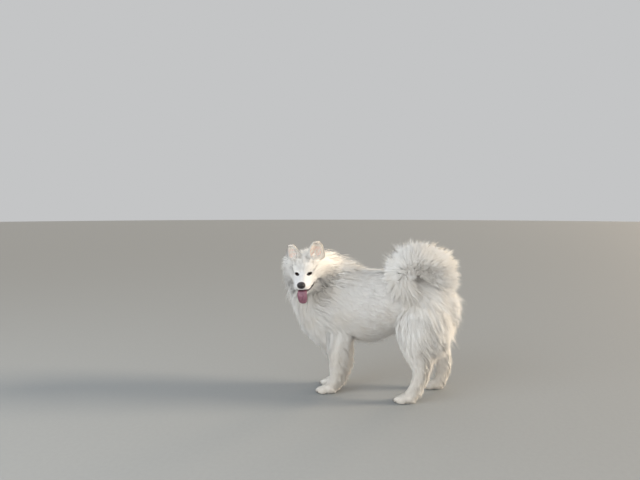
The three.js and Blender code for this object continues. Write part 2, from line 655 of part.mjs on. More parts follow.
// The dog stands on the origin, at the middle of its own box.
const dog = new THREE.Group();
dog.name = "samoyed";
for (const [name, solid] of Object.entries(solids)) {
  const mesh = new THREE.Mesh(geometryOf(solid), finishOf(name));
  mesh.name = name;
  dog.add(mesh);
}
const box = new THREE.Box3().setFromObject(dog);
dog.position.set(-(box.min.x + box.max.x) / 2, -(box.min.y + box.max.y) / 2, 0);

export default dog;
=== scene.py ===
# %% [markdown]
# # A life-size samoyed in its winter coat
# The dog stands still, with its head turned to its left, its tongue out and its tail curled over its back.
# A long-haired animal is three things laid over each other: one skin with the shape of the flesh, hard or
# wet pieces such as the eyes, nose, claws and tongue, and a coat of many thousand thin tufts. The packed
# solids say where everything is, so the script starts by loading them.

# %% Load the frame
import math

import bmesh
import bpy
import numpy as np
from mathutils import Matrix, Vector
from mathutils.kdtree import KDTree


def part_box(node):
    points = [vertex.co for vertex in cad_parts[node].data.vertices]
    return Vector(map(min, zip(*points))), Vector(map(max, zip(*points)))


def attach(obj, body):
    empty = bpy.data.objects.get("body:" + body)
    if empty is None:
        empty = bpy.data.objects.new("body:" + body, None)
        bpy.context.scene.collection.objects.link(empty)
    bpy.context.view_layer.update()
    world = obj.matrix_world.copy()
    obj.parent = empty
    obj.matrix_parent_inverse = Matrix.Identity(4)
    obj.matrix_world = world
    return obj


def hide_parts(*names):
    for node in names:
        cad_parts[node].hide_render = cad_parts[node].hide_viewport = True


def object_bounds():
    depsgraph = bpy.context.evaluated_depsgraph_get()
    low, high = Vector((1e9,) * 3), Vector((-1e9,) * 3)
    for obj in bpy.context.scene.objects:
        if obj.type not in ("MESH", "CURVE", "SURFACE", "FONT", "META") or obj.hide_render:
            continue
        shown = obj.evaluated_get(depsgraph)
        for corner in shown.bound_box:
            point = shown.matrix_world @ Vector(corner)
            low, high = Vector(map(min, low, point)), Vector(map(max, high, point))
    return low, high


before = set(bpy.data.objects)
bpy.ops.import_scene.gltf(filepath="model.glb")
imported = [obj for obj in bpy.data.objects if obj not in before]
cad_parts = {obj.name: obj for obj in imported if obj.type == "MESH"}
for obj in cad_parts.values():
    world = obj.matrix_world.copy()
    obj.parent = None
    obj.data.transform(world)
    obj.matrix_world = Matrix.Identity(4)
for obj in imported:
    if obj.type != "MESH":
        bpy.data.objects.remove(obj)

cad_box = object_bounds()
MM = 0.001

# %% [markdown]
# ## Driving sizes
# Sizes are in millimetres in the dog's own frame: it heads along -Y, its left side is +X, and the floor
# is at zero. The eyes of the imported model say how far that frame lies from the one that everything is
# placed in, so nothing has to be fitted by eye.

# %% Driving sizes
FORE_FEET = {"x": 52, "y": -212}
HIND_FEET = {"x": 101, "left_y": 148, "right_y": 277}
HEAD = {"eyes": (185, -294, 579), "yaw": 92.5, "pitch": 12, "roll": 3}
EYE = {"x": 27, "y": -2, "z": 0, "radius": 11.5, "lid": 2.6, "opening": (9.0, 20, 5.3), "tilt": 8}
NOSE = {"y": -86, "z": -29, "radii": (16, 11, 13.5)}
EAR = {"x": 46, "y": 50, "base_z": 46, "height": 78, "droop": 12, "lean": 6, "turn": 36}
SIDES = {"left": 1, "right": -1}

head_frame = (
    Matrix.Translation(HEAD["eyes"])
    @ Matrix.Rotation(math.radians(HEAD["yaw"]), 4, "Z")
    @ Matrix.Rotation(math.radians(HEAD["pitch"]), 4, "X")
    @ Matrix.Rotation(math.radians(-HEAD["roll"]), 4, "Y")
)

head_turn, head_origin = np.array(head_frame)[:3, :3], np.array(head_frame)[:3, 3]


def from_head(points):
    """Points of the head's own frame, in the dog's frame."""
    return points @ head_turn.T + head_origin


def middle_of(node):
    low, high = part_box(node)
    return (low + high) / 2 / MM


eyes_middle = (middle_of("eye_left") + middle_of("eye_right")) / 2
SHIFT = np.array(eyes_middle - head_frame @ Vector((0, EYE["y"], EYE["z"])))
print("the dog's frame is shifted by", SHIFT.round(2), "mm")

# %% [markdown]
# ## Lofts
# Muscle and coat both follow the body: a ring travels along a spine and changes size as it goes. Each
# station gives the ring's centre, the flesh's half width, height up and height down, and how much coat
# lies over it to the side, up and down. One rule then gives any point over the body, from lift 0 on the
# flesh to lift 1 at the coat's tips, so the skin and the hair can never drift apart.


# %% A spline through stations
def spline(table, t):
    """Catmull-Rom through the rows of a table, with t from 0 at the first row to 1 at the last."""
    last = len(table) - 1
    rows = np.vstack([2 * table[0] - table[1], table, 2 * table[-1] - table[-2]])
    place = np.clip(t, 0, 1) * last
    first = np.minimum(place.astype(int), last - 1)
    w = (place - first)[:, None]
    before, start, end, after = (rows[first + k] for k in range(4))
    into, out = (end - before) / 2, (after - start) / 2
    bend, turn = 3 * (end - start) - 2 * into - out, 2 * (start - end) + into + out
    return start + into * w + bend * w**2 + turn * w**3


def unit(vectors):
    return vectors / np.maximum(np.linalg.norm(vectors, axis=-1, keepdims=True), 1e-9)


# %% The loft
class Loft:
    """An oval ring swept along a spine, with the coat that lies over it."""

    def __init__(self, stations, ends, side=(1, 0, 0), square=1.0, taper=0.3, local=False):
        bare = (0, 0, 0)
        self.table = np.array([[*s[0], *s[1], *(s[2] if len(s) > 2 else bare)] for s in stations], float)
        self.side, self.square, self.ends = np.array(side, float), square, ends
        self.taper, self.local = taper, local
        line = spline(self.table[:, :3], np.linspace(0, 1, 200))
        self.length = np.linalg.norm(np.diff(line, axis=0), axis=1).sum()

    def speed(self, t):
        """Millimetres along the spine for each unit of t."""
        low, high = np.maximum(t - 0.01, 0), np.minimum(t + 0.01, 1)
        step = spline(self.table[:, :3], high) - spline(self.table[:, :3], low)
        return np.linalg.norm(step, axis=1) / (high - low)

    def ring(self, t, share):
        held = np.clip(t, 0, 1)
        values = spline(self.table, held)
        ahead = spline(self.table[:, :3], np.minimum(held + 1e-3, 1))
        tangent = unit(ahead - spline(self.table[:, :3], np.maximum(held - 1e-3, 0)))
        side = unit(self.side - tangent * (tangent @ self.side)[:, None])
        half = values[:, 3:6] + values[:, 6:9] * share[:, None]
        past = (t - held) * self.speed(held)
        flesh, coat = np.where(past[:, None] < 0, self.ends[0], self.ends[1]).T
        shrink = np.sqrt(np.maximum(self.taper, 1 - (past / (flesh + coat * share + 1e-6)) ** 2))
        centre = values[:, :3] + tangent * past[:, None]
        return centre, tangent, side, np.cross(side, tangent), half * shrink[:, None]

    def around(self, ring, a, size=1.0):
        centre, _, side, up, half = ring
        wide = np.sign(np.cos(a)) * np.abs(np.cos(a)) ** self.square * half[:, 0] * size
        height = np.where(np.sin(a) > 0, half[:, 1], half[:, 2])
        tall = np.sign(np.sin(a)) * np.abs(np.sin(a)) ** self.square * height * size
        return self.placed(centre + side * wide[:, None] + up * tall[:, None])

    def placed(self, points):
        return from_head(points) if self.local else points

    def over(self, t, a, lift):
        t, a, lift = np.broadcast_arrays(np.asarray(t, float), a, lift)
        return self.around(self.ring(t.ravel(), lift.ravel()), a.ravel())


# %% A loft as a closed form
def ring_faces(count, around):
    """Faces of a closed form: its first point, so many rings, and its last point."""
    last = count * around + 1

    def at(row, k):
        return 1 + row * around + k % around

    faces = []
    for k in range(around):
        faces.append((0, at(0, k), at(0, k + 1)))
        faces.append((last, at(count - 1, k + 1), at(count - 1, k)))
        faces += [(at(r, k), at(r + 1, k), at(r + 1, k + 1), at(r, k + 1)) for r in range(count - 1)]
    return faces


def closed_form(loft, around=32, along=40, cap=6):
    """Points and faces of a loft's flesh, with a round cap at either end."""
    (front, _), (back, _) = loft.ends
    leans = [k / cap * math.pi / 2 for k in range(1, cap)]
    rows = [(0.0, -front * math.cos(lean), math.sin(lean)) for lean in leans]
    rows += [(k / along, 0.0, 1.0) for k in range(along + 1)]
    rows += [(1.0, back * math.sin(lean), math.cos(lean)) for lean in leans]
    t, offset, size = np.array(rows).T
    centre, tangent, side, up, half = loft.ring(t, np.zeros(len(t)))
    centre = centre + tangent * offset[:, None]
    turn = np.arange(around) / around * 2 * math.pi
    rings = [
        loft.around((c[None], None, s[None], u[None], h[None]), turn, scale)
        for c, s, u, h, scale in zip(centre, side, up, half, size)
    ]
    first = loft.placed((centre[cap - 1] - tangent[cap - 1] * front)[None])
    final = loft.placed((centre[-cap] + tangent[-cap] * back)[None])
    return np.vstack([first, *rings, final]), ring_faces(len(rows), around)


# %% [markdown]
# ## The body's stations
# These are the same few numbers that the solids are made from. A samoyed is deep in the chest and a little
# longer than tall, and its coat is longest on the ruff, the bib, the backs of the thighs and the tail.

# %% Torso, bib and rump
torso = Loft([
    ((0, -300, 405), (58, 62, 62), (50, 50, 60)),
    ((0, -255, 410), (80, 98, 98), (50, 46, 66)),
    ((0, -190, 425), (94, 132, 118), (48, 48, 64)),
    ((0, -110, 430), (103, 130, 128), (44, 46, 62)),
    ((0, -20, 436), (105, 118, 120), (42, 40, 60)),
    ((0, 60, 448), (98, 104, 98), (42, 38, 56)),
    ((0, 130, 455), (92, 92, 88), (46, 38, 48)),
    ((0, 200, 450), (88, 84, 88), (50, 40, 42)),
    ((0, 255, 438), (68, 64, 74), (60, 48, 46)),
], ends=((32, 48), (30, 74)))
bib = Loft([
    ((50, -290, 512), (60, 40, 44), (56, 20, 78)),
    ((22, -292, 450), (70, 50, 50), (50, 20, 56)),
    ((6, -282, 385), (72, 50, 46), (48, 20, 52)),
    ((0, -258, 322), (62, 44, 38), (46, 20, 50)),
    ((0, -232, 268), (46, 34, 28), (38, 18, 42)),
], ends=((44, 6), (8, 30)))
rump = Loft([
    ((0, 236, 506), (48, 30, 30), (44, 66, 10)),
    ((0, 258, 460), (60, 36, 40), (50, 80, 10)),
    ((0, 266, 410), (62, 38, 40), (50, 84, 10)),
    ((0, 256, 355), (52, 32, 36), (42, 82, 10)),
    ((0, 243, 308), (36, 25, 28), (32, 78, 12)),
], ends=((6, 10), (6, 34)))

# %% Neck and tail
neck = Loft([
    ((0, -170, 475), (74, 74, 86), (55, 45, 60)),
    ((12, -232, 505), (76, 72, 88), (62, 48, 68)),
    ((48, -276, 545), (72, 66, 82), (74, 42, 76)),
    ((86, -296, 571), (50, 46, 54), (84, 46, 82)),
], side=(0.75, 0.66, 0), ends=((20, 0), (10, 14)))
tail = Loft([
    ((0, 232, 492), (24, 24, 24), (30, 24, 44)),
    ((4, 264, 542), (22, 22, 24), (50, 42, 74)),
    ((18, 260, 588), (20, 20, 22), (62, 50, 78)),
    ((42, 226, 612), (18, 18, 20), (66, 54, 78)),
    ((68, 180, 614), (17, 17, 18), (66, 54, 84)),
    ((92, 142, 594), (15, 15, 16), (66, 50, 92)),
    ((108, 128, 556), (13, 13, 13), (60, 44, 88)),
    ((120, 138, 520), (10, 10, 10), (52, 34, 70)),
], ends=((10, 0), (10, 40)))

# %% Skull and jaw
skull = Loft([
    ((0, -84, -35), (24, 17, 16), (2, 1, 2)),
    ((0, -72, -35), (30, 21, 21), (3, 2, 2)),
    ((0, -52, -33), (34, 24, 26), (5, 2, 4)),
    ((0, -32, -30), (38, 26, 29), (8, 2, 6)),
    ((0, -14, -24), (45, 29, 33), (11, 3, 9)),
    ((0, 2, -13), (50, 35, 42), (20, 7, 24)),
    ((0, 22, -4), (57, 47, 53), (38, 19, 50)),
    ((0, 56, 0), (61, 55, 62), (60, 33, 76)),
    ((0, 92, -6), (60, 50, 58), (74, 38, 88)),
    ((0, 124, -14), (46, 40, 46), (66, 34, 72)),
], square=0.9, ends=((8, 2), (6, 10)), taper=0.9, local=True)
jaw = Loft([
    ((0, -62, -62), (18, 14, 13), (3, 0, 5)),
    ((0, -40, -61), (27, 16, 16), (5, 0, 10)),
    ((0, -10, -56), (38, 20, 20), (16, 0, 30)),
    ((0, 20, -48), (43, 22, 26), (42, 0, 64)),
], square=0.9, ends=((8, 2), (40, 0)), local=True)


# %% Ears
def ear_forms(sign):
    """An ear's leaf and the cup in its front. A row is height, half width and half depth."""
    rows = [(-0.28, 28, 15), (0.02, 41, 19), (0.28, 40, 17), (0.58, 33, 13), (0.8, 25, 9.5), (0.92, 16, 7)]
    turned = math.radians(sign * EAR["turn"])
    height = EAR["height"] if sign > 0 else EAR["height"] - EAR["droop"]

    def spine(s, forward=0.0):
        across = sign * (EAR["x"] + 2 * EAR["lean"] * s)
        return (across, EAR["y"] - 5 * s - forward, EAR["base_z"] + height * s)

    leaf = [(spine(s), (half, deep, deep), (5, 2, 5)) for s, half, deep in rows]
    cup = [
        (spine(s + 0.06, deep * 0.7 + 1), (half * 0.62, deep * 0.8, deep * 0.8), (3, 3, 3))
        for s, half, deep in [(0.17, 38, 18), *rows[2:5]]
    ]
    side = (math.cos(turned), math.sin(turned), 0)
    outer = Loft(leaf, ((6, 0), (4, 5)), side=side, local=True)
    hollow = Loft(cup, ((6, 0), (4, 0)), side=side, local=True)
    return outer, hollow


# %% Legs
def foreleg(sign):
    x, y = FORE_FEET["x"], FORE_FEET["y"]
    return Loft([
        ((sign * 52, y + 6, 372), (26, 40, 40), (14, 14, 20)),
        ((sign * 60, y + 48, 305), (30, 42, 46), (20, 18, 28)),
        ((sign * 60, y + 46, 240), (26, 32, 33), (15, 27, 26)),
        ((sign * 57, y + 38, 160), (21, 24, 24), (12, 40, 12)),
        ((sign * 54, y + 34, 95), (20, 21, 21), (10, 34, 8)),
        ((sign * x, y + 24, 52), (20, 19, 20), (8, 16, 7)),
        ((sign * x, y + 12, 28), (22, 18, 22), (6, 6, 6)),
    ], ends=((20, 0), (10, 0)))


def hindleg(sign, y):
    back = (y - HIND_FEET["left_y"]) / (HIND_FEET["right_y"] - HIND_FEET["left_y"])
    return Loft([
        ((sign * 58, 200 + 14 * back, 468), (40, 56, 52), (34, 50, 24)),
        ((sign * 74, 196 + 18 * back, 400), (46, 74, 72), (36, 60, 28)),
        ((sign * 88, 182 + 32 * back, 328), (39, 66, 70), (30, 78 - 18 * back, 30)),
        ((sign * 96, 172 + 66 * back, 252), (30, 42, 44), (20, 86 - 36 * back, 14)),
        ((sign * 99, 186 + 98 * back, 190), (23, 28, 28), (13, 50 - 14 * back, 9)),
        ((sign * 100, 198 + 108 * back, 145), (20, 24, 22), (10, 20, 8)),
        ((sign * 101, 190 + 116 * back, 95), (18, 18, 19), (9, 22, 7)),
        ((sign * 101, 174 + 126 * back, 52), (20, 18, 20), (8, 18, 7)),
        ((sign * 101, 160 + 129 * back, 28), (22, 18, 22), (6, 6, 6)),
    ], ends=((24, 10), (10, 0)))


def paw_coat(x, y):
    """A short loft from the heel to the toes, for the lie of a paw's fur."""
    return Loft([
        ((x, y + 36, 26), (20, 22, 20), (4, 4, 2)),
        ((x, y + 12, 27), (29, 25, 22), (4, 4, 2)),
        ((x, y - 18, 19), (31, 19, 16), (4, 4, 2)),
        ((x, y - 42, 13), (25, 13, 11), (4, 4, 2)),
    ], ends=((8, 3), (8, 4)))


feet = {
    **{f"fore_{name}": (sign * FORE_FEET["x"], FORE_FEET["y"]) for name, sign in SIDES.items()},
    **{f"hind_{name}": (sign * HIND_FEET["x"], HIND_FEET[f"{name}_y"]) for name, sign in SIDES.items()},
}
legs = {
    **{f"foreleg_{name}": foreleg(sign) for name, sign in SIDES.items()},
    **{f"hindleg_{name}": hindleg(sign, HIND_FEET[f"{name}_y"]) for name, sign in SIDES.items()},
}
print("lofts run", [round(loft.length) for loft in (torso, neck, tail, *legs.values())], "mm")

# %% [markdown]
# ## Making and joining forms
# A few helpers turn points into meshes in metres, work modifiers in, and join or cut closed forms. A voxel
# remesh melts overlapping forms into one surface, which is how clay pieces become one body.


# %% Mesh helpers
def piece_of(name, points, faces):
    """An object made from points in the dog's frame, in millimetres."""
    mesh = bpy.data.meshes.new(name)
    mesh.from_pydata(((np.asarray(points, float) + SHIFT) * MM).tolist(), [], faces)
    piece = bpy.data.objects.new(name, mesh)
    bpy.context.scene.collection.objects.link(piece)
    return piece


def melted(name, forms):
    """One object that holds several closed forms."""
    points, faces, start = [], [], 0
    for form_points, form_faces in forms:
        points.append(form_points)
        faces += [tuple(start + k for k in face) for face in form_faces]
        start += len(form_points)
    return piece_of(name, np.vstack(points), faces)


def settle(piece):
    """Works a piece's modifiers into its mesh."""
    graph = bpy.context.evaluated_depsgraph_get()
    mesh = bpy.data.meshes.new_from_object(piece.evaluated_get(graph))
    piece.modifiers.clear()
    piece.data = mesh
    return piece


def remesh(piece, voxel, smooth):
    """Melts a piece's overlapping forms into one surface and smooths it."""
    modifier = piece.modifiers.new("remesh", "REMESH")
    modifier.mode, modifier.voxel_size = "VOXEL", voxel * MM
    modifier.use_smooth_shade = True
    soften = piece.modifiers.new("soften", "SMOOTH")
    soften.iterations, soften.factor = smooth, 0.5
    return settle(piece)


def combine(piece, other, operation):
    """Joins another closed form to a piece, or cuts it away, and removes it."""
    modifier = piece.modifiers.new("combine", "BOOLEAN")
    modifier.operation, modifier.object, modifier.solver = operation, other, "MANIFOLD"
    settle(piece)
    bpy.data.objects.remove(other)
    return piece


def add(piece, form):
    """Joins one closed form, given as points and faces, to a piece."""
    return combine(piece, melted("form", [form]), "UNION")


def cut(piece, form):
    return combine(piece, melted("form", [form]), "DIFFERENCE")


def normals_out(piece):
    mesh = bmesh.new()
    mesh.from_mesh(piece.data)
    bmesh.ops.recalc_face_normals(mesh, faces=mesh.faces)
    mesh.to_mesh(piece.data)
    mesh.free()


def count_triangles(piece):
    return sum(len(face.vertices) - 2 for face in piece.data.polygons)


# %% Balls
def ball(centre, radii, local=True, turn=0.0, detail=(32, 20)):
    """Points and faces of an ellipsoid, in the head's frame when it is local. Turn tips it about Y."""
    around, rows = detail
    points = [(0, 0, 1)]
    for row in range(1, rows):
        lean = row / rows * math.pi
        radius, height = math.sin(lean), math.cos(lean)
        for k in range(around):
            angle = k / around * 2 * math.pi
            points.append((radius * math.cos(angle), radius * math.sin(angle), height))
    points.append((0, 0, -1))
    tipped = np.array(Matrix.Rotation(turn, 3, "Y"))
    shaped = np.array(points) * np.array(radii, float) @ tipped.T + np.array(centre, float)
    return (from_head(shaped) if local else shaped), ring_faces(rows - 1, around)


# %% [markdown]
# ## The body under the coat
# The torso, neck, tail, legs and paws overlap like clay and are melted into one surface. Smoothing rounds
# the joints, as skin does where it bridges muscles.

# %% The body's skin
BODY_VOXEL = 6.0
FLOOR_GAP = 0.4
flesh = [closed_form(loft) for loft in (torso, bib, rump, neck, tail, *legs.values())]
skin = remesh(melted("skin", flesh), BODY_VOXEL, smooth=5)
print("body skin", count_triangles(skin), "triangles")

# %% [markdown]
# ## Paws
# A paw is four toes side by side, each with a knuckle behind it, in front of a broad pad. They are made
# finer than the body so the grooves between the toes stay open, and then joined to the legs.

# %% Paws
TOES = [(-23, -22), (-8.5, -32), (8.5, -32), (23, -22)]
PAW_VOXEL = 2.4


def paw_forms(x, y):
    """The pad, the wrist above it, and a toe and a knuckle four times."""
    pad = ball((x, y + 8, 21), (27, 31, 23), local=False)
    wrist = ball((x, y + 18, 40), (20, 19, 24), local=False)
    forms = [pad, wrist]
    for toe_x, toe_y in TOES:
        forms.append(ball((x + toe_x, y + toe_y, 12.5), (8.8, 19, 12.5), local=False))
        forms.append(ball((x + toe_x * 0.85, y + toe_y + 16, 22), (8.6, 15, 12), local=False))
    return forms


four_paws = [form for x, y in feet.values() for form in paw_forms(x, y)]
paws = remesh(melted("paws", four_paws), PAW_VOXEL, smooth=4)
combine(skin, paws, "UNION")
for vertex in skin.data.vertices:
    vertex.co.z = max(vertex.co.z, FLOOR_GAP * MM)
print("with paws", count_triangles(skin), "triangles")

# %% [markdown]
# ## The head
# The head is made finer than the body, because a face is read at a glance. The skull, jaw and both ears
# are melted together first. Each ear is a cupped shell: a thick leaf with a hollow cut from its front.

# %% Head form
HEAD_VOXEL = 2.0
head_forms = [closed_form(skull, around=48, along=60), closed_form(jaw, around=40, along=30)]
for sign in SIDES.values():
    outer, hollow = (closed_form(loft, around=40) for loft in ear_forms(sign))
    leaf = cut(melted("leaf", [outer]), hollow)
    coordinates = np.array([v.co for v in leaf.data.vertices]) / MM - SHIFT
    head_forms.append((coordinates, [tuple(face.vertices) for face in leaf.data.polygons]))
    bpy.data.objects.remove(leaf)
    brow = ball((sign * 27, 2, 14), (16, 12, 8), turn=math.radians(-sign * 10))
    upper_lip = ball((sign * 17, -66, -45), (15, 22, 11))
    head_forms += [brow, upper_lip]
head = remesh(melted("head_skin", head_forms), HEAD_VOXEL, smooth=6)
print("head form", count_triangles(head), "triangles")

# %% [markdown]
# ## Mouth and eyelids
# The mouth is a wedge cut in from the front to the corner of the lips. Lids are a thin shell over each
# eyeball with an almond opening, so the eye sits behind them at its real depth.

# %% Cut the mouth
MOUTH = [
    (-112, -51, -60), (-72, -52, -61.5), (-40, -49, -58.5), (-14, -41, -50), (4, -34, -42), (18, -27, -31),
]  # how far back, and how high the upper and the lower edge are there
PALATE = ball((0, -4, -46), (25, 36, 14))


def across_head(outline, half_width=60):
    """A prism across the head from an outline of [y, z] points."""
    count = len(outline)
    points = [(sign * half_width, y, z) for sign in (-1, 1) for y, z in outline]
    faces = [tuple(range(count)), tuple(range(2 * count - 1, count - 1, -1))]
    faces += [(k, count + k, count + (k + 1) % count, (k + 1) % count) for k in range(count)]
    piece = piece_of("wedge", from_head(np.array(points)), faces)
    normals_out(piece)
    return piece


mouth_outline = [(y, upper) for y, upper, _ in MOUTH] + [(y, lower) for y, _, lower in reversed(MOUTH)]
combine(head, across_head(mouth_outline), "DIFFERENCE")
remesh(head, HEAD_VOXEL, smooth=3)
add(head, PALATE)
print("mouth cut", count_triangles(head))

# %% Lids and sockets
SOCKET_GAP = 0.3
OPENING_FORWARD = 12


def eye_place(sign, forward=0.0):
    return (sign * EYE["x"], EYE["y"] - forward, EYE["z"])


for sign in SIDES.values():
    add(head, ball(eye_place(sign), (EYE["radius"] + EYE["lid"],) * 3))
for sign in SIDES.values():
    cut(head, ball(eye_place(sign), (EYE["radius"] + SOCKET_GAP,) * 3))
    tilt = math.radians(-sign * EYE["tilt"])
    cut(head, ball(eye_place(sign, OPENING_FORWARD), EYE["opening"], turn=tilt))
print("head with lids", count_triangles(head))

# %% One skin
combine(skin, head, "UNION")
skin.data.shade_smooth()
print("skin", count_triangles(skin), "triangles")

# %% [markdown]
# ## A map of the skin
# The unwrap lays the skin out flat in islands. The coat uses the same map: each tuft takes a tiny patch at
# its root's place, so colour painted or baked on the skin reaches the hair that grows there.

# %% Unwrap the skin
bpy.context.view_layer.objects.active = skin
skin.select_set(True)
for layer in list(skin.data.uv_layers):
    skin.data.uv_layers.remove(layer)
skin.data.uv_layers.new(name="OFBake")
bpy.ops.object.mode_set(mode="EDIT")
bpy.ops.mesh.select_all(action="SELECT")
bpy.ops.uv.smart_project(angle_limit=math.radians(70), island_margin=0.002)
bpy.ops.object.mode_set(mode="OBJECT")
skin.select_set(False)
print("unwrapped")

# %% Head's own frame
into_head = np.array(head_frame.inverted())


def in_head(points):
    return points @ into_head[:3, :3].T + into_head[:3, 3]


def smooth_step(values, low, high):
    share = np.clip((values - low) / (high - low), 0, 1)
    return share * share * (3 - 2 * share)


# %% [markdown]
# ## Guides for the coat
# Each part of the body says how its hair grows, and guide points over every loft carry that plan. A root
# anywhere on the skin asks the nearest guide, so the coat has no bare strips where two forms meet.
#
# - Lie is 1 for hair that runs along its loft and -1 for hair that runs against it. Sweep turns it round.
# - Stretch is its length for each millimetre of the coat's depth, kept between least and most.
# - Reach is how near the tip comes to the coat's outside, rise is how soon the hair lifts, and droop is
#   how far it sinks. No hair runs past top.
# - Dense multiplies how many tufts there are, and stray is the share of them that stand out.
# - Gather is how many tufts make a lock, clump is how tightly, and ragged is how uneven the locks are.
# - Own is how much of its own shading each tuft keeps, and fan spreads the tail's plume.
# - Where says which part of the loft the plan is for.

# %% How each part's hair grows
UP, DOWN = math.pi / 2, -math.pi / 2


def facing(a, middle):
    return np.cos(a - middle)


def everywhere(t, a):
    return np.ones_like(t, bool)


def towards(a, middle, low=0.3, high=0.95):
    """One where the angle points the middle's way, falling to nothing at the sides."""
    return smooth_step(facing(a, middle), low, high)


COMMON_PLAN = dict(
    lie=1.0, sweep=0.0, stretch=2.1, least=30, most=110, reach=1.0, rise=0.8, droop=0.1, top=9.0,
    dense=1.0, stray=0.07, gather=18, clump=0.5, ragged=0.14, own=0.3, fan=False, where=everywhere,
)
guides = []


def hair_plan(name, loft, **changes):
    guides.append({"name": name, "loft": loft, **COMMON_PLAN, **changes})


def trunk_reach(t, a):
    """Fluffy withers above and a fringe below the belly."""
    return 1.0 + 0.22 * towards(a, UP) * (t < 0.36) + 0.26 * towards(a, DOWN, 0.55) * (t > 0.34)


def ruff_turn(t, a):
    """The cheeks' hair falls back and down, the crown's only back."""
    return -np.cos(a) * (0.12 + 0.5 * smooth_step(-np.sin(a), -0.6, 0.4))


def ruff_droop(t, a):
    return (0.08 + 0.3 * smooth_step(-np.sin(a), -0.5, 0.3)) * smooth_step(t, 0.5, 0.66)


def feather_reach(t, a):
    return 1.0 + 0.22 * towards(a, UP)


def feather_dense(t, a):
    return 0.8 + 1.3 * towards(a, UP)


# %% Plans for the trunk, neck and tail
hair_plan("torso", torso, sweep=-0.35, droop=0.12, reach=trunk_reach, dense=1.05, clump=0.35, gather=11,
          ragged=0.08)
hair_plan("bib", bib, droop=0.12, reach=1.04, dense=1.1)
hair_plan("rump", rump, droop=0.3, reach=0.92, stray=0.12, most=130, dense=1.8, ragged=0.2)
hair_plan("neck", neck, lie=-1, sweep=-0.3, stretch=1.8, droop=0.2, reach=0.95, dense=2.4, clump=0.2,
          gather=12, ragged=0.1)
hair_plan("tail", tail, stretch=1.1, least=84, most=103, dense=5.6, stray=0.14, clump=0.7, gather=22,
          ragged=0.2, fan=True)

# %% Plans for the legs and paws
for name, loft in legs.items():
    hair_plan(name, loft, sweep=0.3, stretch=2.0, least=15, most=125, rise=0.75, droop=0.28, clump=0.95,
              gather=16, ragged=0.3, reach=feather_reach, dense=feather_dense, stray=0.12)
for name, (x, y) in feet.items():
    hair_plan(f"paw_{name}", paw_coat(x, y), sweep=-0.3, stretch=1.6, least=7, most=10, dense=1.1, droop=0,
              clump=0.3)

# %% Plans for the head
hair_plan("face", skull, sweep=-0.12, least=7, most=46, rise=0.75, droop=ruff_droop, dense=1.6, clump=0.3,
          where=lambda t, a: t < 0.64)
hair_plan("ruff", skull, sweep=ruff_turn, stretch=1.7, most=118, rise=0.75, droop=ruff_droop, dense=2.0,
          gather=24, ragged=0.16, where=lambda t, a: t >= 0.64)
hair_plan("jaw", jaw, sweep=-0.35, stretch=1.9, least=7, most=92, dense=2.2, droop=0.12, ragged=0.16,
          where=lambda t, a: facing(a, DOWN) > -0.6)
for name, sign in SIDES.items():
    outer, hollow = ear_forms(sign)
    hair_plan(f"ear_{name}", outer, sweep=0.2, stretch=3.0, least=9, most=13, reach=1.15, droop=0,
              clump=0.15, own=0.85, top=1.085, where=lambda t, a: t > -0.06)
    hair_plan(f"ear_{name}_inside", hollow, stretch=3.2, least=11, most=18, reach=-1.2, droop=0, dense=0.42,
              clump=0.15, own=0.85, top=1.04)

# %% Guide points
GUIDE_ROWS, GUIDE_COLUMNS = 70, 48
GUIDES_PAST_ENDS = 0.9
guide_points, guide_keys = [], []
for number, plan in enumerate(guides):
    loft = plan["loft"]
    ends = [GUIDES_PAST_ENDS * loft.ends[k][0] / loft.speed(np.array([float(k)]))[0] for k in (0, 1)]
    rows = np.linspace(-ends[0], 1 + ends[1], GUIDE_ROWS)
    columns = np.arange(GUIDE_COLUMNS) / (GUIDE_COLUMNS / 2) * math.pi
    t, a = (grid.ravel() for grid in np.meshgrid(rows, columns))
    chosen = plan["where"](t, a)
    guide_points.append(loft.over(t, a, 0)[chosen])
    guide_keys.append(np.stack([np.full(chosen.sum(), number), t[chosen], a[chosen]], 1))
guide_points, guide_keys = np.vstack(guide_points), np.vstack(guide_keys)
guide_tree = KDTree(len(guide_points))
for k, point in enumerate(guide_points):
    guide_tree.insert(point, k)
guide_tree.balance()
print("guides", len(guide_points))


def nearest_guides(points):
    """For each point the number of its plan and its t and a."""
    found = np.array([guide_tree.find(point)[1] for point in points])
    return guide_keys[found, 0].astype(int), guide_keys[found, 1], guide_keys[found, 2]


# %% [markdown]
# ## Marks on the skin
# Eye rims, lips, soles and the pink of the ears are worked out from the same sizes that cut them, and
# stored on the skin's vertices. Hair keeps clear of the dark marks.

# %% Where the skin is dark or pink
MOUTH_ROWS = np.array(MOUTH)


def eye_ellipse(local, sign):
    """One at the edge of an eye's opening, less inside it and more outside."""
    from_eye = local - np.array(eye_place(sign))
    tilt = math.radians(sign * EYE["tilt"])
    across = from_eye[:, 0] * math.cos(tilt) + from_eye[:, 2] * math.sin(tilt)
    up = from_eye[:, 2] * math.cos(tilt) - from_eye[:, 0] * math.sin(tilt)
    half_width, _, half_height = EYE["opening"]
    ellipse = np.hypot(across / half_width, up / half_height)
    return np.where((from_eye[:, 1] < 3) & (from_eye[:, 1] > -30), ellipse, 9.0)


def mouth_distance(local):
    """Millimetres outside the parting of the lips, negative inside it. They count less on the lower lip."""
    upper = np.interp(local[:, 1], MOUTH_ROWS[:, 0], MOUTH_ROWS[:, 1])
    lower = np.interp(local[:, 1], MOUTH_ROWS[:, 0], MOUTH_ROWS[:, 2])
    lower_lip = np.interp(local[:, 1], (-78, -58), (1.0, 0.45))
    outside = np.maximum(local[:, 2] - upper, (lower - local[:, 2]) * lower_lip)
    return np.maximum(outside, (local[:, 1] - MOUTH_ROWS[-1, 0]) * 1.5)


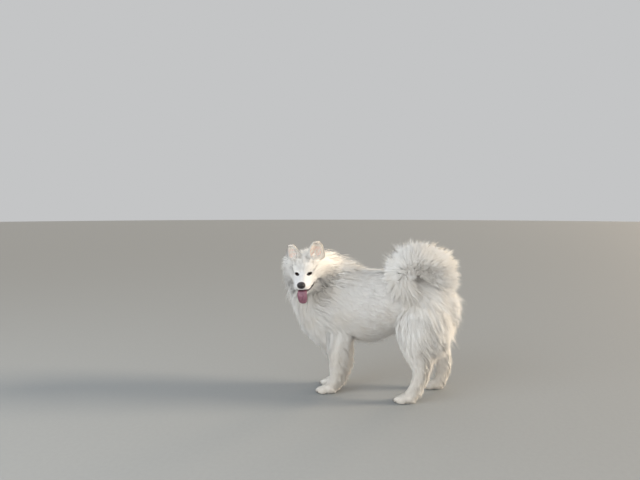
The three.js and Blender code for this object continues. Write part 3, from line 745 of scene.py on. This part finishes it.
def nose_distance(local):
    return np.linalg.norm((local - np.array((0, NOSE["y"], NOSE["z"]))) / np.array(NOSE["radii"]), axis=1)


skin_points = np.array([v.co for v in skin.data.vertices]) / MM - SHIFT
local_points = in_head(skin_points)
dark = np.zeros(len(skin_points))
for sign in SIDES.values():
    dark = np.maximum(dark, smooth_step(eye_ellipse(local_points, sign), 1.34, 1.14))
dark = np.maximum(dark, smooth_step(mouth_distance(local_points), 4.8, 3.2) * (local_points[:, 1] < 12))
dark = np.maximum(dark, smooth_step(nose_distance(local_points), 1.2, 1.08))
dark = np.maximum(dark, smooth_step(skin_points[:, 2], 2.8, 1.6))
inside_ears = [number for number, plan in enumerate(guides) if plan["name"].endswith("inside")]
plan_numbers, plan_t, _ = nearest_guides(skin_points)
pink = np.isin(plan_numbers, inside_ears) * smooth_step(plan_t, 0.95, 0.55)
for name, values in (("dark", dark), ("pink", pink)):
    skin.data.attributes.new(name, "FLOAT", "POINT").data.foreach_set("value", values.astype(np.float32))
print("dark vertices", int((dark > 0.5).sum()), "pink vertices", int((pink > 0.5).sum()))

# %% [markdown]
# ## The coat
# A tuft is a thin, tapering lock. Its root is sunk in the skin, it leans over along the lie of the coat and
# its tip reaches the coat's outside. Short fur is made of many fine tufts and long fur of fewer, broader
# ones that draw together towards their tips. Seeds fix every draw, so each run gives the same dog.

# %% Roots on the skin
skin.data.calc_loop_triangles()
triangles = np.array([face.vertices for face in skin.data.loop_triangles])
triangle_loops = np.array([face.loops for face in skin.data.loop_triangles])
map_points = np.empty(len(skin.data.loops) * 2)
skin.data.uv_layers["OFBake"].data.foreach_get("uv", map_points)
map_points = map_points.reshape(-1, 2)
corners = skin_points[triangles]
crossed = np.cross(corners[:, 1] - corners[:, 0], corners[:, 2] - corners[:, 0])
area = np.linalg.norm(crossed, axis=1) / 200
face_normals = unit(crossed)
numbers, t_face, a_face = nearest_guides(corners.mean(1))
depths, dense = np.zeros(len(area)), np.ones(len(area))
for number, plan in enumerate(guides):
    here = numbers == number
    skin_at, tips_at = (plan["loft"].over(t_face[here], a_face[here], lift) for lift in (0, 1))
    depths[here] = np.linalg.norm(tips_at - skin_at, axis=1)
    dense[here] = plan["dense"](t_face[here], a_face[here]) if callable(plan["dense"]) else plan["dense"]

# %% How many roots, and where
LONG_DENSITY, SHORT_DENSITY = 9.2, 40.0
SHORT_DEPTH = 5.5
crowd = dense * (LONG_DENSITY + SHORT_DENSITY * np.exp(-depths / SHORT_DEPTH))
crowd *= 1 - smooth_step(dark[triangles].mean(1), 0.2, 0.6)
tuft_count = int((area * crowd).sum())
rng = np.random.default_rng(2024)
rooted = rng.choice(len(area), tuft_count, p=area * crowd / (area * crowd).sum())
weights = rng.dirichlet((1, 1, 1), tuft_count)
roots = (corners[rooted] * weights[:, :, None]).sum(1)
root_maps = (map_points[triangle_loops[rooted]] * weights[:, :, None]).sum(1)
blur = np.clip(depths[rooted] / 5, 0.3, 12)[:, None]
root_plan, root_t, root_a = nearest_guides(roots + rng.normal(0, 1, (tuft_count, 3)) * blur)
print("tufts", tuft_count, "on", round(area.sum()), "square centimetres")

# %% Shape of the tufts
LONG_RINGS = [(0.3, 1.0), (0.68, 0.72)]
SHORT_RINGS = [(0.42, 1.0)]
LONG_FROM = 24
PATCH = 0.003
SINK = 2.0
LEAST_DEPTH = 0.8


def drawn_together(points, seed_rng, size):
    """Which neighbour each tuft leans towards: one in every so many leads."""
    leaders = seed_rng.choice(len(points), max(len(points) // size, 1), replace=False)
    tree = KDTree(len(leaders))
    for k, leader in enumerate(leaders):
        tree.insert(points[leader], k)
    tree.balance()
    return leaders[np.array([tree.find(point)[1] for point in points])]


# %% The tail's plume
WHORL = np.array((100.0, 162.0, 568.0))
CROSSING_SHARE = 0.62


def plume_curve(roots, normals, t, length, rng):
    """The tail's hair comes out at the sides of the curl and fans away from its middle."""
    away = unit((roots - WHORL) * (0, 1, 1))
    side = np.where(normals[:, :1] > -0.15, 1.0, -1.0) * np.array((1.0, 0, 0))
    inner = smooth_step(-(normals * away).sum(1), -0.2, 0.6)[:, None]
    crossing = inner * (rng.random((len(roots), 1)) < CROSSING_SHARE)
    tip = smooth_step(t, 0.78, 0.97)[:, None]
    start = unit(normals + 0.5 * away + 0.9 * inner * side)
    falling = np.array((0.15, 0.2, -0.9)) + normals * (0.1, 0.8, 0.1)
    heading = away * (1 - 1.5 * crossing) + side * (0.42 + 0.7 * inner) + rng.normal(0, 0.14, roots.shape)
    heading = unit(unit(heading) * (1 - tip) + tip * falling)
    reach = length[:, None]
    bend, end = roots + 0.42 * reach * start, roots + reach * (0.32 * start + 0.68 * heading)
    sunk = roots - normals * SINK

    def curve(s):
        return sunk * (1 - s) ** 2 + bend * (2 * s * (1 - s)) + end * s * s

    return curve, unit(side * (0.7 + 0.5 * inner) + away * (0.7 - 0.6 * inner) + 0.25 * normals)


# %% Steps along a tuft
LEAST_RISE = 0.16


def laid_on_skin(points, roots, normals, short):
    """Short hair that would run into the skin is laid along it instead."""
    step = points - roots
    size, height = np.linalg.norm(step, axis=1), (step * normals).sum(1)
    least = np.maximum(height, LEAST_RISE * size)
    flat = unit(step - normals * height[:, None])
    laid = roots + flat * np.sqrt(size**2 - least**2)[:, None] + normals * least[:, None]
    return points + (laid - points) * short[:, None]


def tuft_rings(path, outward, wide, roll, rings):
    """A root, rings of three points and a tip, and the way that each point faces."""
    points, ways = [path(0.0)], [outward]
    cos, sin = np.cos(roll), np.sin(roll)
    for s, share in rings:
        here = path(s)
        heading = unit(path(s + 0.06) - here)
        across = unit(np.cross(heading, outward))
        above = np.cross(across, heading)
        across, above = across * cos + above * sin, above * cos - across * sin
        half = (wide * share / 2)[:, None]
        points += [here - across * half, here + across * half, here + above * half * 0.8]
        ways += [above - across, above + across, above * 1.4]
    points.append(path(1.0))
    ways.append(ways[-1])
    return np.stack(points, 1), np.stack([unit(way) for way in ways], 1)


# %% Growing a plan's tufts
def grow(plan, roots, t, a, normals, rng):
    """Tufts of one plan: points, shading, tone, and which are sound, not thrown off by a loft's end."""
    loft, count = plan["loft"], len(roots)
    skin_at = loft.over(t, a, 0)
    depth = np.maximum(np.linalg.norm(loft.over(t, a, 1) - skin_at, axis=1), LEAST_DEPTH)
    keys = ("lie", "sweep", "reach", "droop")
    lie, sweep, reach, droop = (plan[key](t, a) if callable(plan[key]) else plan[key] for key in keys)
    sweep = sweep if callable(plan["sweep"]) else sweep * np.cos(a)
    inwards = -1.0 if np.max(reach) < 0 else 1.0
    leader = drawn_together(roots, rng, plan["gather"])
    stray = rng.random(count) < plan["stray"]
    led = rng.random(count)[leader]
    ragged = 1 + plan["ragged"] * (1.8 * led - 1)
    tip = reach * ragged * rng.uniform(0.78, 1.02, count)
    tip = tip * np.where(stray, rng.uniform(1.03, 1.16, count), 1)
    length = np.clip(plan["stretch"] * depth, plan["least"], plan["most"]) * rng.uniform(0.8, 1.15, count)
    run = np.sqrt(np.maximum(length**2 - (tip * depth) ** 2, (0.35 * length) ** 2))
    width_here = np.linalg.norm(loft.over(t, a, 0.7) - loft.over(t, a + math.pi, 0.7), axis=1)
    along = (lie + rng.normal(0, 0.09, count)) * run / loft.speed(np.clip(t, 0, 1))
    turn = (sweep + rng.normal(0, 0.12, count)) * run / np.maximum(width_here / 2, 8)
    short = smooth_step(length, 34, 14)

    def free_path(s):
        lift = -inwards * np.minimum(SINK / depth, 0.7) * (1 - s) + tip * max(s, 0) ** plan["rise"]
        drop = np.array((0, 0, 1)) * (droop * length * s * s)[:, None]
        place = np.minimum(t + along * s, np.maximum(t, plan["top"]))
        points = loft.over(place, a + turn * s, lift) + (roots - skin_at) - drop
        return laid_on_skin(points, roots, normals, short) if s > 0 else points

    outward = unit(inwards * (loft.over(t, a, 1) - skin_at) + 0.5 * depth[:, None] * normals)
    if plan["fan"]:
        plume_length = length * ragged * np.where(stray, 1.03, 1)
        free_path, outward = plume_curve(roots, normals, t, plume_length, rng)
    ends = free_path(1.0)
    spread = 0.35 * (1 - led)[:, None] * (roots - roots[leader])
    pull = plan["clump"] * (0.35 + 0.65 * led) * rng.uniform(0.5, 1, count) * ~stray
    draw = (ends[leader] - ends + spread) * pull[:, None]
    draw /= np.maximum(np.linalg.norm(draw, axis=1, keepdims=True) / (0.4 * length[:, None]), 1)

    def path(s):
        return free_path(s) + draw * max(s, 0) ** 1.5

    broad = 1.0 + 1.5 * (1 - np.exp(-depth / 12))
    wide = broad * rng.uniform(0.65, 1.3, count) * np.where(stray, 0.6, 1)
    roll = rng.normal(0, 0.5, count)[:, None]
    rings = LONG_RINGS if length.mean() > LONG_FROM else SHORT_RINGS
    points, ways = tuft_rings(path, outward, wide, roll, rings)
    shading = unit(ways * plan["own"] + outward[:, None] * (1 - plan["own"]))
    tone = 0.55 * rng.random(count) + 0.45 * rng.random(count)[leader]
    sound = np.linalg.norm(points[:, -1] - points[:, 0], axis=1) < 1.6 * length + 12
    return dict(points=points, shading=shading, rings=rings, tone=tone, sound=sound)


# %% From arrays to a mesh
def tuft_faces(rings):
    faces = [(0, 1 + k, 1 + (k + 1) % 3) for k in range(3)]
    for ring in range(rings - 1):
        for k in range(3):
            p, q = 1 + ring * 3 + k, 1 + ring * 3 + (k + 1) % 3
            faces += [(p, p + 3, q + 3), (p, q + 3, q)]
    last = 1 + (rings - 1) * 3
    faces += [(last + k, last + 3, last + (k + 1) % 3) for k in range(3)]
    return np.array(faces)


def coat_piece(name, made, maps, keep):
    """One object of whole tufts, with its map, its shading and the numbers that colour it."""
    points = made["points"][keep]
    count, each = points.shape[:2]
    pattern = tuft_faces(len(made["rings"]))
    faces = (pattern[None] + (np.arange(count) * each)[:, None, None]).reshape(-1, 3)
    mesh = bpy.data.meshes.new(name)
    mesh.vertices.add(count * each)
    mesh.vertices.foreach_set("co", ((points.reshape(-1, 3) + SHIFT) * MM).astype(np.float32).ravel())
    mesh.loops.add(faces.size)
    mesh.loops.foreach_set("vertex_index", faces.ravel().astype(np.int32))
    mesh.polygons.add(len(faces))
    mesh.polygons.foreach_set("loop_start", np.arange(0, faces.size, 3, dtype=np.int32))
    mesh.update(calc_edges=True)
    along = np.array([0.0, *(s for s, _ in made["rings"] for _ in range(3)), 1.0])
    across = np.array([0.5, *([0.0, 1.0, 0.5] * len(made["rings"])), 0.5])
    map_u = maps[keep][:, :1] + (across[None] - 0.5) * PATCH
    map_v = maps[keep][:, 1:] + (along[None] - 0.5) * PATCH
    tuft_maps = np.stack([map_u, map_v], -1).reshape(-1, 2)[faces.ravel()]
    layer = mesh.uv_layers.new(name="OFBake")
    layer.data.foreach_set("uv", tuft_maps.astype(np.float32).ravel())
    stored = {"tone": np.repeat(made["tone"][keep], each)}
    stored |= {"along": np.tile(along, count), "across": np.tile(across, count)}
    for attribute, values in stored.items():
        layer = mesh.attributes.new(attribute, "FLOAT", "POINT")
        layer.data.foreach_set("value", values.astype(np.float32))
    mesh.shade_smooth()
    mesh.normals_split_custom_set_from_vertices(made["shading"][keep].reshape(-1, 3))
    piece = bpy.data.objects.new(name, mesh)
    bpy.context.scene.collection.objects.link(piece)
    return piece


# %% Places that stay clear
MOUTH_CLEARANCE = 2.8
NOSE_CLEARANCE, EYE_CLEARANCE = 1.04, 1.06
FLOOR_CLEARANCE = 0.8
box_low, box_high = (np.array(corner) / MM - SHIFT for corner in cad_box)
PAST_THE_BOX = 0.03 * (box_high - box_low) + 8.5


def clear_of_bare_places(points):
    """Tufts that stand neither before an eye, nor in the mouth, nor on the nose, nor too far out."""
    flat = points.reshape(-1, 3)
    local = in_head(flat)
    bare = (mouth_distance(local) < MOUTH_CLEARANCE) & (np.abs(local[:, 0]) < 60) & (local[:, 1] > -120)
    bare |= nose_distance(local) < NOSE_CLEARANCE
    for sign in SIDES.values():
        bare |= eye_ellipse(local, sign) < EYE_CLEARANCE
    bare |= flat[:, 2] < FLOOR_CLEARANCE
    bare |= ((flat < box_low - PAST_THE_BOX) | (flat > box_high + PAST_THE_BOX)).any(1)
    return ~bare.reshape(points.shape[:2]).any(1)


# %% Grow it part by part
MOST_TRIANGLES = 190_000
FIRST_SEED = 300
coat = []
total = 0
for number, plan in enumerate(guides):
    here = np.flatnonzero(root_plan == number)
    plan_rng = np.random.default_rng(FIRST_SEED + number)
    made = grow(plan, roots[here], root_t[here], root_a[here], face_normals[rooted[here]], plan_rng)
    clear = np.flatnonzero(clear_of_bare_places(made["points"]) & made["sound"])
    each = len(tuft_faces(len(made["rings"])))
    parts = math.ceil(len(clear) * each / MOST_TRIANGLES)
    order = clear[np.argsort(root_t[here][clear], kind="stable")]
    for part, keep in enumerate(np.array_split(order, parts)):
        name = f"coat_{plan['name']}" + (f"_{part + 1}" if parts > 1 else "")
        coat.append(coat_piece(name, made, root_maps[here], keep))
    total += len(clear) * each
    print(f"{plan['name']}: {len(clear)} tufts, {len(clear) * each} triangles")
print("coat", total, "triangles in", len(coat), "pieces")

# %% [markdown]
# ## Eyes, nose, tongue and claws
# These are smooth or wet, so they are pieces of their own. The eye is a dark ball that shines. The nose is
# a wide pad with two nostrils cut in, and the tongue is a flat loft with a groove that hangs over the lip.

# %% Eyes
eyes = {}
for name, sign in SIDES.items():
    eyes[name] = melted(f"eye_{name}_look", [ball(eye_place(sign), (EYE["radius"],) * 3, detail=(48, 32))])
    eyes[name].data.shade_smooth()
print("eyes", [count_triangles(eye) for eye in eyes.values()])

# %% Nose
NOSE_VOXEL = 0.7


def on_nose(x, forward, up, radii, turn=0.0):
    """A ball at a place counted from the nose's middle."""
    return ball((x, NOSE["y"] - forward, NOSE["z"] + up), radii, turn=turn)


nose = melted("nose_look", [
    on_nose(0, -1, 1.5, (15, 10.5, 9.5)),
    on_nose(0, -1, -3, (9.5, 10.5, 8.5)),
    on_nose(7.5, 0.5, -1, (7.5, 9.5, 7.5)),
    on_nose(-7.5, 0.5, -1, (7.5, 9.5, 7.5)),
])
remesh(nose, NOSE_VOXEL, smooth=4)
for sign in SIDES.values():
    cut(nose, on_nose(sign * 7.2, 9.5, -1.5, (4.2, 6.5, 2.6), turn=math.radians(sign * 25)))
for sign in SIDES.values():
    cut(nose, on_nose(sign * 13, 7, -3.5, (5, 5, 1.1), turn=math.radians(-sign * 12)))
cut(nose, on_nose(0, 12, -7, (0.8, 4, 7.5)))
nose.data.shade_smooth()
print("nose", count_triangles(nose))

# %% Tongue
tongue_loft = Loft([
    ((0, -30, -53), (15, 2.4, 2.2)),
    ((0, -62, -56.5), (18, 2.6, 2.3)),
    ((0, -80, -61), (20, 3.1, 2.7)),
    ((0, -87, -76), (20.5, 3.3, 3)),
    ((0, -87, -88), (20, 3.1, 3)),
    ((0, -85, -97), (18, 3, 2.8)),
], square=0.85, ends=((3, 0), (17, 0)), taper=0.02, local=True)
tongue_points, tongue_faces = closed_form(tongue_loft, around=48, along=70, cap=8)
local = in_head(tongue_points)
groove = 2.0 * np.exp(-((local[:, 0] / 2.4) ** 2)) * np.clip((-local[:, 1] - 55) / 20, 0, 1)
hanging = local[:, 2] < -64
local[:, 1] += groove * hanging
local[:, 2] -= groove * ~hanging
tongue = melted("tongue_look", [(from_head(local), tongue_faces)])
tongue.data.shade_smooth()
print("tongue", count_triangles(tongue))

# %% Claws
CLAW = {"forward": 17.5, "length": 12, "radius": 2.7, "height": 9.5, "drop": 4.5}


def claw_form(x, y, around=12, rows=8):
    """A short curved horn, round in section, that comes out of the fur and points at the floor."""
    points = [(x, y, CLAW["height"])]
    for row in range(rows):
        s = row / rows
        centre = np.array((x, y - CLAW["length"] * s, CLAW["height"] - CLAW["drop"] * s * s))
        radius = CLAW["radius"] * math.sqrt(1 - s * s) * (1 - 0.25 * s)
        for k in range(around):
            angle = k / around * 2 * math.pi
            points.append(centre + radius * np.array((math.cos(angle) * 0.8, 0, math.sin(angle))))
    points.append((x, y - CLAW["length"] - 0.5, CLAW["height"] - CLAW["drop"] - 0.2))
    return np.array(points), ring_faces(rows, around)


claws = melted("claws", [
    claw_form(x + toe_x, y + toe_y - CLAW["forward"]) for x, y in feet.values() for toe_x, toe_y in TOES
])
normals_out(claws)
claws.data.shade_smooth()
print("claws", count_triangles(claws))

# %% [markdown]
# ## Materials
# Every material is a node tree that works from object position or from numbers stored on the points. The
# coat's tint is one shared group, so the skin under the hair carries the same markings as the hair. A weak
# glow of their own colour stands for the light that passes through white hair and thin ears.


# %% Node helpers
class Tree:
    """Short ways to add and link nodes."""

    def __init__(self, tree):
        self.nodes, self.links = tree.nodes, tree.links

    def add(self, kind, values=None, **settings):
        node = self.nodes.new(kind)
        for key, value in settings.items():
            setattr(node, key, value)
        for key, value in (values or {}).items():
            if isinstance(value, bpy.types.NodeSocket):
                self.links.new(value, node.inputs[key])
            else:
                node.inputs[key].default_value = value
        return node

    def noise(self, scale, detail=3, vector=None, roughness=0.55):
        values = {"Scale": scale, "Detail": detail, "Roughness": roughness}
        if vector is not None:
            values["Vector"] = vector
        return self.add("ShaderNodeTexNoise", values).outputs["Fac"]

    def stored(self, name):
        """A number that the mesh keeps on its points."""
        return self.add("ShaderNodeAttribute", attribute_name=name).outputs["Fac"]

    def math(self, operation, first, second=0.0):
        return self.add("ShaderNodeMath", {0: first, 1: second}, operation=operation).outputs[0]

    def ramp(self, value, low, high, to_low=0.0, to_high=1.0):
        values = {"Value": value, "From Min": low, "From Max": high, "To Min": to_low, "To Max": to_high}
        return self.add("ShaderNodeMapRange", values, interpolation_type="SMOOTHSTEP").outputs["Result"]

    def bump(self, surface, height, strength, distance):
        """Fine relief on a surface, as high as the distance in metres."""
        values = {"Strength": strength, "Distance": distance, "Height": height}
        self.links.new(self.add("ShaderNodeBump", values).outputs["Normal"], surface.inputs["Normal"])

    def mix(self, factor, first, second):
        node = self.add("ShaderNodeMix", data_type="RGBA")
        for socket, value in ((0, factor), (6, first), (7, second)):
            if isinstance(value, bpy.types.NodeSocket):
                self.links.new(value, node.inputs[socket])
            else:
                node.inputs[socket].default_value = value
        return node.outputs[2]


def shade(red, green, blue):
    return (red, green, blue, 1.0)


def world_place(point):
    """A point of the dog's frame, in metres of the shared frame."""
    return tuple((np.array(point, float) + SHIFT) * MM)


def head_place(point):
    return world_place(from_head(np.array(point, float)))


def near(tree, position, place, inner, outer):
    """One near a place in metres, falling to nothing further off."""
    apart = tree.add("ShaderNodeVectorMath", {0: position, 1: place}, operation="DISTANCE")
    return tree.ramp(apart.outputs["Value"], inner, outer, 1.0, 0.0)


# %% The coat's tint, shared by skin and hair
def tint_group():
    group = bpy.data.node_groups.new("coat_tint", "ShaderNodeTree")
    group.interface.new_socket("Position", in_out="INPUT", socket_type="NodeSocketVector")
    group.interface.new_socket("Color", in_out="OUTPUT", socket_type="NodeSocketColor")
    tree = Tree(group)
    position = tree.add("NodeGroupInput").outputs["Position"]
    height = tree.add("ShaderNodeSeparateXYZ", {0: position}).outputs["Z"]
    low = tree.ramp(height, 0.02, 0.32, 1.0, 0.0)
    patches = tree.ramp(tree.noise(9.0, 3, position), 0.42, 0.68)
    color = tree.mix(tree.math("MULTIPLY", patches, 0.55), shade(0.90, 0.88, 0.84), shade(0.87, 0.81, 0.72))
    color = tree.mix(tree.math("MULTIPLY", low, 0.35), color, shade(0.76, 0.67, 0.55))
    for sign in SIDES.values():
        ear = near(tree, position, head_place((sign * 52, 54, 108)), 0.024, 0.05)
        color = tree.mix(tree.math("MULTIPLY", ear, 0.4), color, shade(0.88, 0.78, 0.66))
    # Painted light: near the muzzle the cream is replaced by a cooler white, for the cool sky light that
    # falls on the face.
    cool_light_on_muzzle = near(tree, position, head_place((0, -60, -42)), 0.035, 0.075)
    color = tree.mix(cool_light_on_muzzle, color, shade(0.88, 0.87, 0.86))
    tree.links.new(color, tree.add("NodeGroupOutput").inputs["Color"])
    return group


coat_tint = tint_group()


# %% A start for each material
def new_material(name):
    material = bpy.data.materials.new(name)
    material.use_nodes = True
    tree = Tree(material.node_tree)
    surface = tree.nodes["Principled BSDF"]
    return material, tree, surface


def tinted(tree, position):
    group = tree.add("ShaderNodeGroup")
    group.node_tree = coat_tint
    tree.links.new(position, group.inputs["Position"])
    return group.outputs["Color"]


# %% Hair and skin
def hair_material():
    material, tree, surface = new_material("hair")
    position = tree.add("ShaderNodeTexCoord").outputs["Object"]
    tone, along, across = tree.stored("tone"), tree.stored("along"), tree.stored("across")
    strand_place = {0: tree.math("MULTIPLY", across, 6.0), 1: along, 2: tree.math("MULTIPLY", tone, 90.0)}
    strands = tree.noise(2.2, 2, tree.add("ShaderNodeCombineXYZ", strand_place).outputs[0])
    # Painted shade: each tuft is darkened towards its root, where it lies in the shade of the coat, over a
    # creamier undercoat.
    color = tree.mix(tree.ramp(along, 0.0, 0.6, 0.16, 0.0), tinted(tree, position), shade(0.66, 0.59, 0.51))
    color = tree.mix(tree.ramp(tone, 0.1, 1.0, 0.0, 0.16), color, shade(0.70, 0.63, 0.54))
    color = tree.mix(tree.ramp(strands, 0.38, 0.68, 0.0, 0.22), color, shade(0.97, 0.96, 0.94))
    tree.links.new(color, surface.inputs["Base Color"])
    surface.inputs["Roughness"].default_value = 0.58
    surface.inputs["Specular IOR Level"].default_value = 0.3
    ear_places = [head_place((sign * 52, 50, 90)) for sign in SIDES.values()]
    ears = tree.math("ADD", *(near(tree, position, place, 0.035, 0.06) for place in ear_places))
    tree.links.new(color, surface.inputs["Emission Color"])
    tree.links.new(tree.ramp(ears, 0.0, 1.0, 0.05, 0.16), surface.inputs["Emission Strength"])
    surface.inputs["Sheen Weight"].default_value = 0.25
    surface.inputs["Sheen Roughness"].default_value = 0.45
    tree.bump(surface, strands, 0.25, 0.0005)
    return material


def skin_material():
    material, tree, surface = new_material("skin_and_short_fur")
    position = tree.add("ShaderNodeTexCoord").outputs["Object"]
    dark, pink = tree.stored("dark"), tree.stored("pink")
    fluff = tree.noise(420.0, 4, position)
    # Painted shade: where the short fur's relief is low, its colour is darkened towards a grey brown, as in
    # the shade of its hollows.
    shade_in_fur_hollows = tree.ramp(fluff, 0.3, 0.7, 0.35, 0.05)
    color = tree.mix(shade_in_fur_hollows, tinted(tree, position), shade(0.56, 0.49, 0.42))
    flesh = tree.mix(tree.noise(160.0, 3, position), shade(0.80, 0.48, 0.38), shade(0.88, 0.66, 0.55))
    color = tree.mix(tree.math("MULTIPLY", pink, 0.85), color, flesh)
    pores = tree.noise(700.0, 3, position)
    leather = tree.mix(pores, shade(0.012, 0.010, 0.011), shade(0.045, 0.036, 0.038))
    color = tree.mix(dark, color, leather)
    tree.links.new(color, surface.inputs["Base Color"])
    tree.links.new(tree.ramp(dark, 0.0, 1.0, 0.7, 0.42), surface.inputs["Roughness"])
    tree.links.new(flesh, surface.inputs["Emission Color"])
    tree.links.new(tree.math("MULTIPLY", pink, 0.16), surface.inputs["Emission Strength"])
    tree.bump(surface, fluff, 0.5, 0.0010)
    return material


# %% Wet and horny pieces
def eye_material():
    material, tree, surface = new_material("dark_brown_eye")
    position = tree.add("ShaderNodeTexCoord").outputs["Object"]
    color = shade(0.030, 0.014, 0.008)
    for sign in SIDES.values():
        front = head_place((sign * (EYE["x"] + 0.5), EYE["y"] - EYE["radius"], EYE["z"]))
        iris = near(tree, position, front, 0.0055, 0.0066)
        pupil = near(tree, position, front, 0.0026, 0.0031)
        rim = near(tree, position, front, 0.0075, 0.0082)
        threads = tree.noise(900.0, 3, position)
        fibres = tree.mix(threads, shade(0.045, 0.018, 0.008), shade(0.10, 0.045, 0.018))
        color = tree.mix(rim, color, shade(0.020, 0.012, 0.010))
        color = tree.mix(iris, color, fibres)
        color = tree.mix(pupil, color, shade(0.003, 0.002, 0.002))
    tree.links.new(color, surface.inputs["Base Color"])
    surface.inputs["Roughness"].default_value = 0.08
    surface.inputs["Coat Weight"].default_value = 0.8
    surface.inputs["Coat Roughness"].default_value = 0.03
    return material


def nose_material():
    material, tree, surface = new_material("nose_leather")
    position = tree.add("ShaderNodeTexCoord").outputs["Object"]
    values = {"Vector": position, "Scale": 700.0}
    cells = tree.add("ShaderNodeTexVoronoi", values, feature="DISTANCE_TO_EDGE").outputs["Distance"]
    color = tree.mix(tree.ramp(cells, 0.0, 0.25), shade(0.010, 0.008, 0.008), shade(0.040, 0.034, 0.035))
    tree.links.new(color, surface.inputs["Base Color"])
    surface.inputs["Roughness"].default_value = 0.38
    tree.bump(surface, tree.ramp(cells, 0.0, 0.2), 0.5, 0.0004)
    return material


def tongue_material():
    material, tree, surface = new_material("wet_tongue")
    position = tree.add("ShaderNodeTexCoord").outputs["Object"]
    mottle = tree.noise(120.0, 4, position)
    grain = tree.noise(1500.0, 2, position)
    color = tree.mix(tree.ramp(mottle, 0.35, 0.65), shade(0.22, 0.085, 0.125), shade(0.31, 0.14, 0.18))
    color = tree.mix(tree.ramp(grain, 0.5, 0.7, 0.0, 0.25), color, shade(0.45, 0.27, 0.31))
    tree.links.new(color, surface.inputs["Base Color"])
    surface.inputs["Roughness"].default_value = 0.34
    surface.inputs["Subsurface Weight"].default_value = 0.15
    surface.inputs["Subsurface Radius"].default_value = (0.006, 0.002, 0.002)
    tree.bump(surface, grain, 0.4, 0.0004)
    return material


def claw_material():
    material, tree, surface = new_material("claw_horn")
    position = tree.add("ShaderNodeTexCoord").outputs["Object"]
    streaks = tree.noise(500.0, 3, position)
    color = tree.mix(tree.ramp(streaks, 0.3, 0.7), shade(0.10, 0.08, 0.065), shade(0.26, 0.21, 0.17))
    tree.links.new(color, surface.inputs["Base Color"])
    surface.inputs["Roughness"].default_value = 0.4
    tree.bump(surface, streaks, 0.2, 0.0002)
    return material


# %% Give every piece its material
def wear(piece, material):
    piece.data.materials.clear()
    piece.data.materials.append(material)


hair, dark_eye = hair_material(), eye_material()
for piece in coat:
    wear(piece, hair)
for eye in eyes.values():
    wear(eye, dark_eye)
wear(skin, skin_material())
wear(nose, nose_material())
wear(tongue, tongue_material())
wear(claws, claw_material())
print("materials", len(bpy.data.materials))

# %% [markdown]
# ## Replacing the solids
# The skin takes the place of the plain solids it was made over, and the eyes, nose and tongue of their own
# solids. Every finished piece rides with the dog.

# %% Replace the solids
looks = [skin, nose, tongue, claws, *eyes.values(), *coat]
for piece in looks:
    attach(piece, "root")
stand_ins = [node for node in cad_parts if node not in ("nose", "tongue", "eye_left", "eye_right")]
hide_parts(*stand_ins)
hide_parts("nose")
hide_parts("tongue")
for name, eye in eyes.items():
    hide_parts(f"eye_{name}")
for piece in (skin, claws, *coat):
    "paw_coat" if "paw" in piece.name or piece is claws else "coat"
print("pieces", len(looks), "triangles", sum(count_triangles(piece) for piece in looks))

# %% [markdown]
# ## Studio
# The photo is taken from the dog's left side, a little above its back, with a wide lens. The stage is a
# plain grey floor. A big cool lamp in front stands for the sky and a smaller one near the floor fills the
# shadows. Two low warm suns, behind the tail and on the far side, rim the coat as evening light does.

# %% Floor
bpy.ops.mesh.primitive_circle_add(vertices=96, radius=40.0, fill_type="NGON")
floor = bpy.context.object
floor.name = "floor"
floor_material, floor_tree, floor_surface = new_material("studio_paper")
paper = floor_tree.noise(60.0, 4, floor_tree.add("ShaderNodeTexCoord").outputs["Object"])
grey = floor_tree.mix(paper, shade(0.30, 0.31, 0.31), shade(0.33, 0.34, 0.34))
floor_tree.links.new(grey, floor_surface.inputs["Base Color"])
floor_surface.inputs["Roughness"].default_value = 0.85
wear(floor, floor_material)


# %% Lights
def lamp(kind, name, place, target, size, power, color):
    data = bpy.data.lights.new(name, kind)
    data.energy, data.color = power, color
    if kind == "SUN":
        data.angle = size
    else:
        data.size = size
    light = bpy.data.objects.new(name, data)
    bpy.context.scene.collection.objects.link(light)
    light.location = place
    light.rotation_euler = (Vector(target) - Vector(place)).to_track_quat("-Z", "Y").to_euler()


middle = (0, 0, 0.42)
lamp("SUN", "low_sun", (-0.8, 5.0, 2.3), middle, math.radians(14), 3.3, (1.0, 0.86, 0.68))
lamp("SUN", "low_glow", (-4.0, 2.6, 0.85), middle, math.radians(16), 1.5, (1.0, 0.76, 0.52))
lamp("AREA", "floor_bounce", (3.0, -0.2, 0.45), (0, 0, 0.35), 2.0, 28, (1.0, 0.95, 0.88))
lamp("AREA", "sky_front", (3.0, -2.4, 2.6), middle, 3.0, 84, (0.80, 0.90, 1.0))
world = bpy.data.worlds.new("studio")
world.use_nodes = True
world.node_tree.nodes["Background"].inputs["Color"].default_value = (0.89, 0.90, 0.91, 1.0)
world.node_tree.nodes["Background"].inputs["Strength"].default_value = 0.62
bpy.context.scene.world = world

# %% Camera
FOCAL_PIXELS, PICTURE_WIDTH = 481.0, 640
SENSOR_WIDTH = 36.0
CAMERA_PLACE = (2210, 170, 848)
CAMERA_HEADING = Vector((-0.9816, -0.1912, 0.0))
CAMERA_TILT = math.radians(3.57)
camera_data = bpy.data.cameras.new("camera")
camera_data.sensor_width = SENSOR_WIDTH
camera_data.lens = FOCAL_PIXELS / PICTURE_WIDTH * SENSOR_WIDTH
camera = bpy.data.objects.new("camera", camera_data)
bpy.context.scene.collection.objects.link(camera)
camera.location = world_place(CAMERA_PLACE)
looking = CAMERA_HEADING * math.cos(CAMERA_TILT) + Vector((0, 0, -math.sin(CAMERA_TILT)))
camera.rotation_euler = looking.to_track_quat("-Z", "Y").to_euler()
bpy.context.scene.camera = camera
bpy.context.scene.view_settings.view_transform = "Standard"
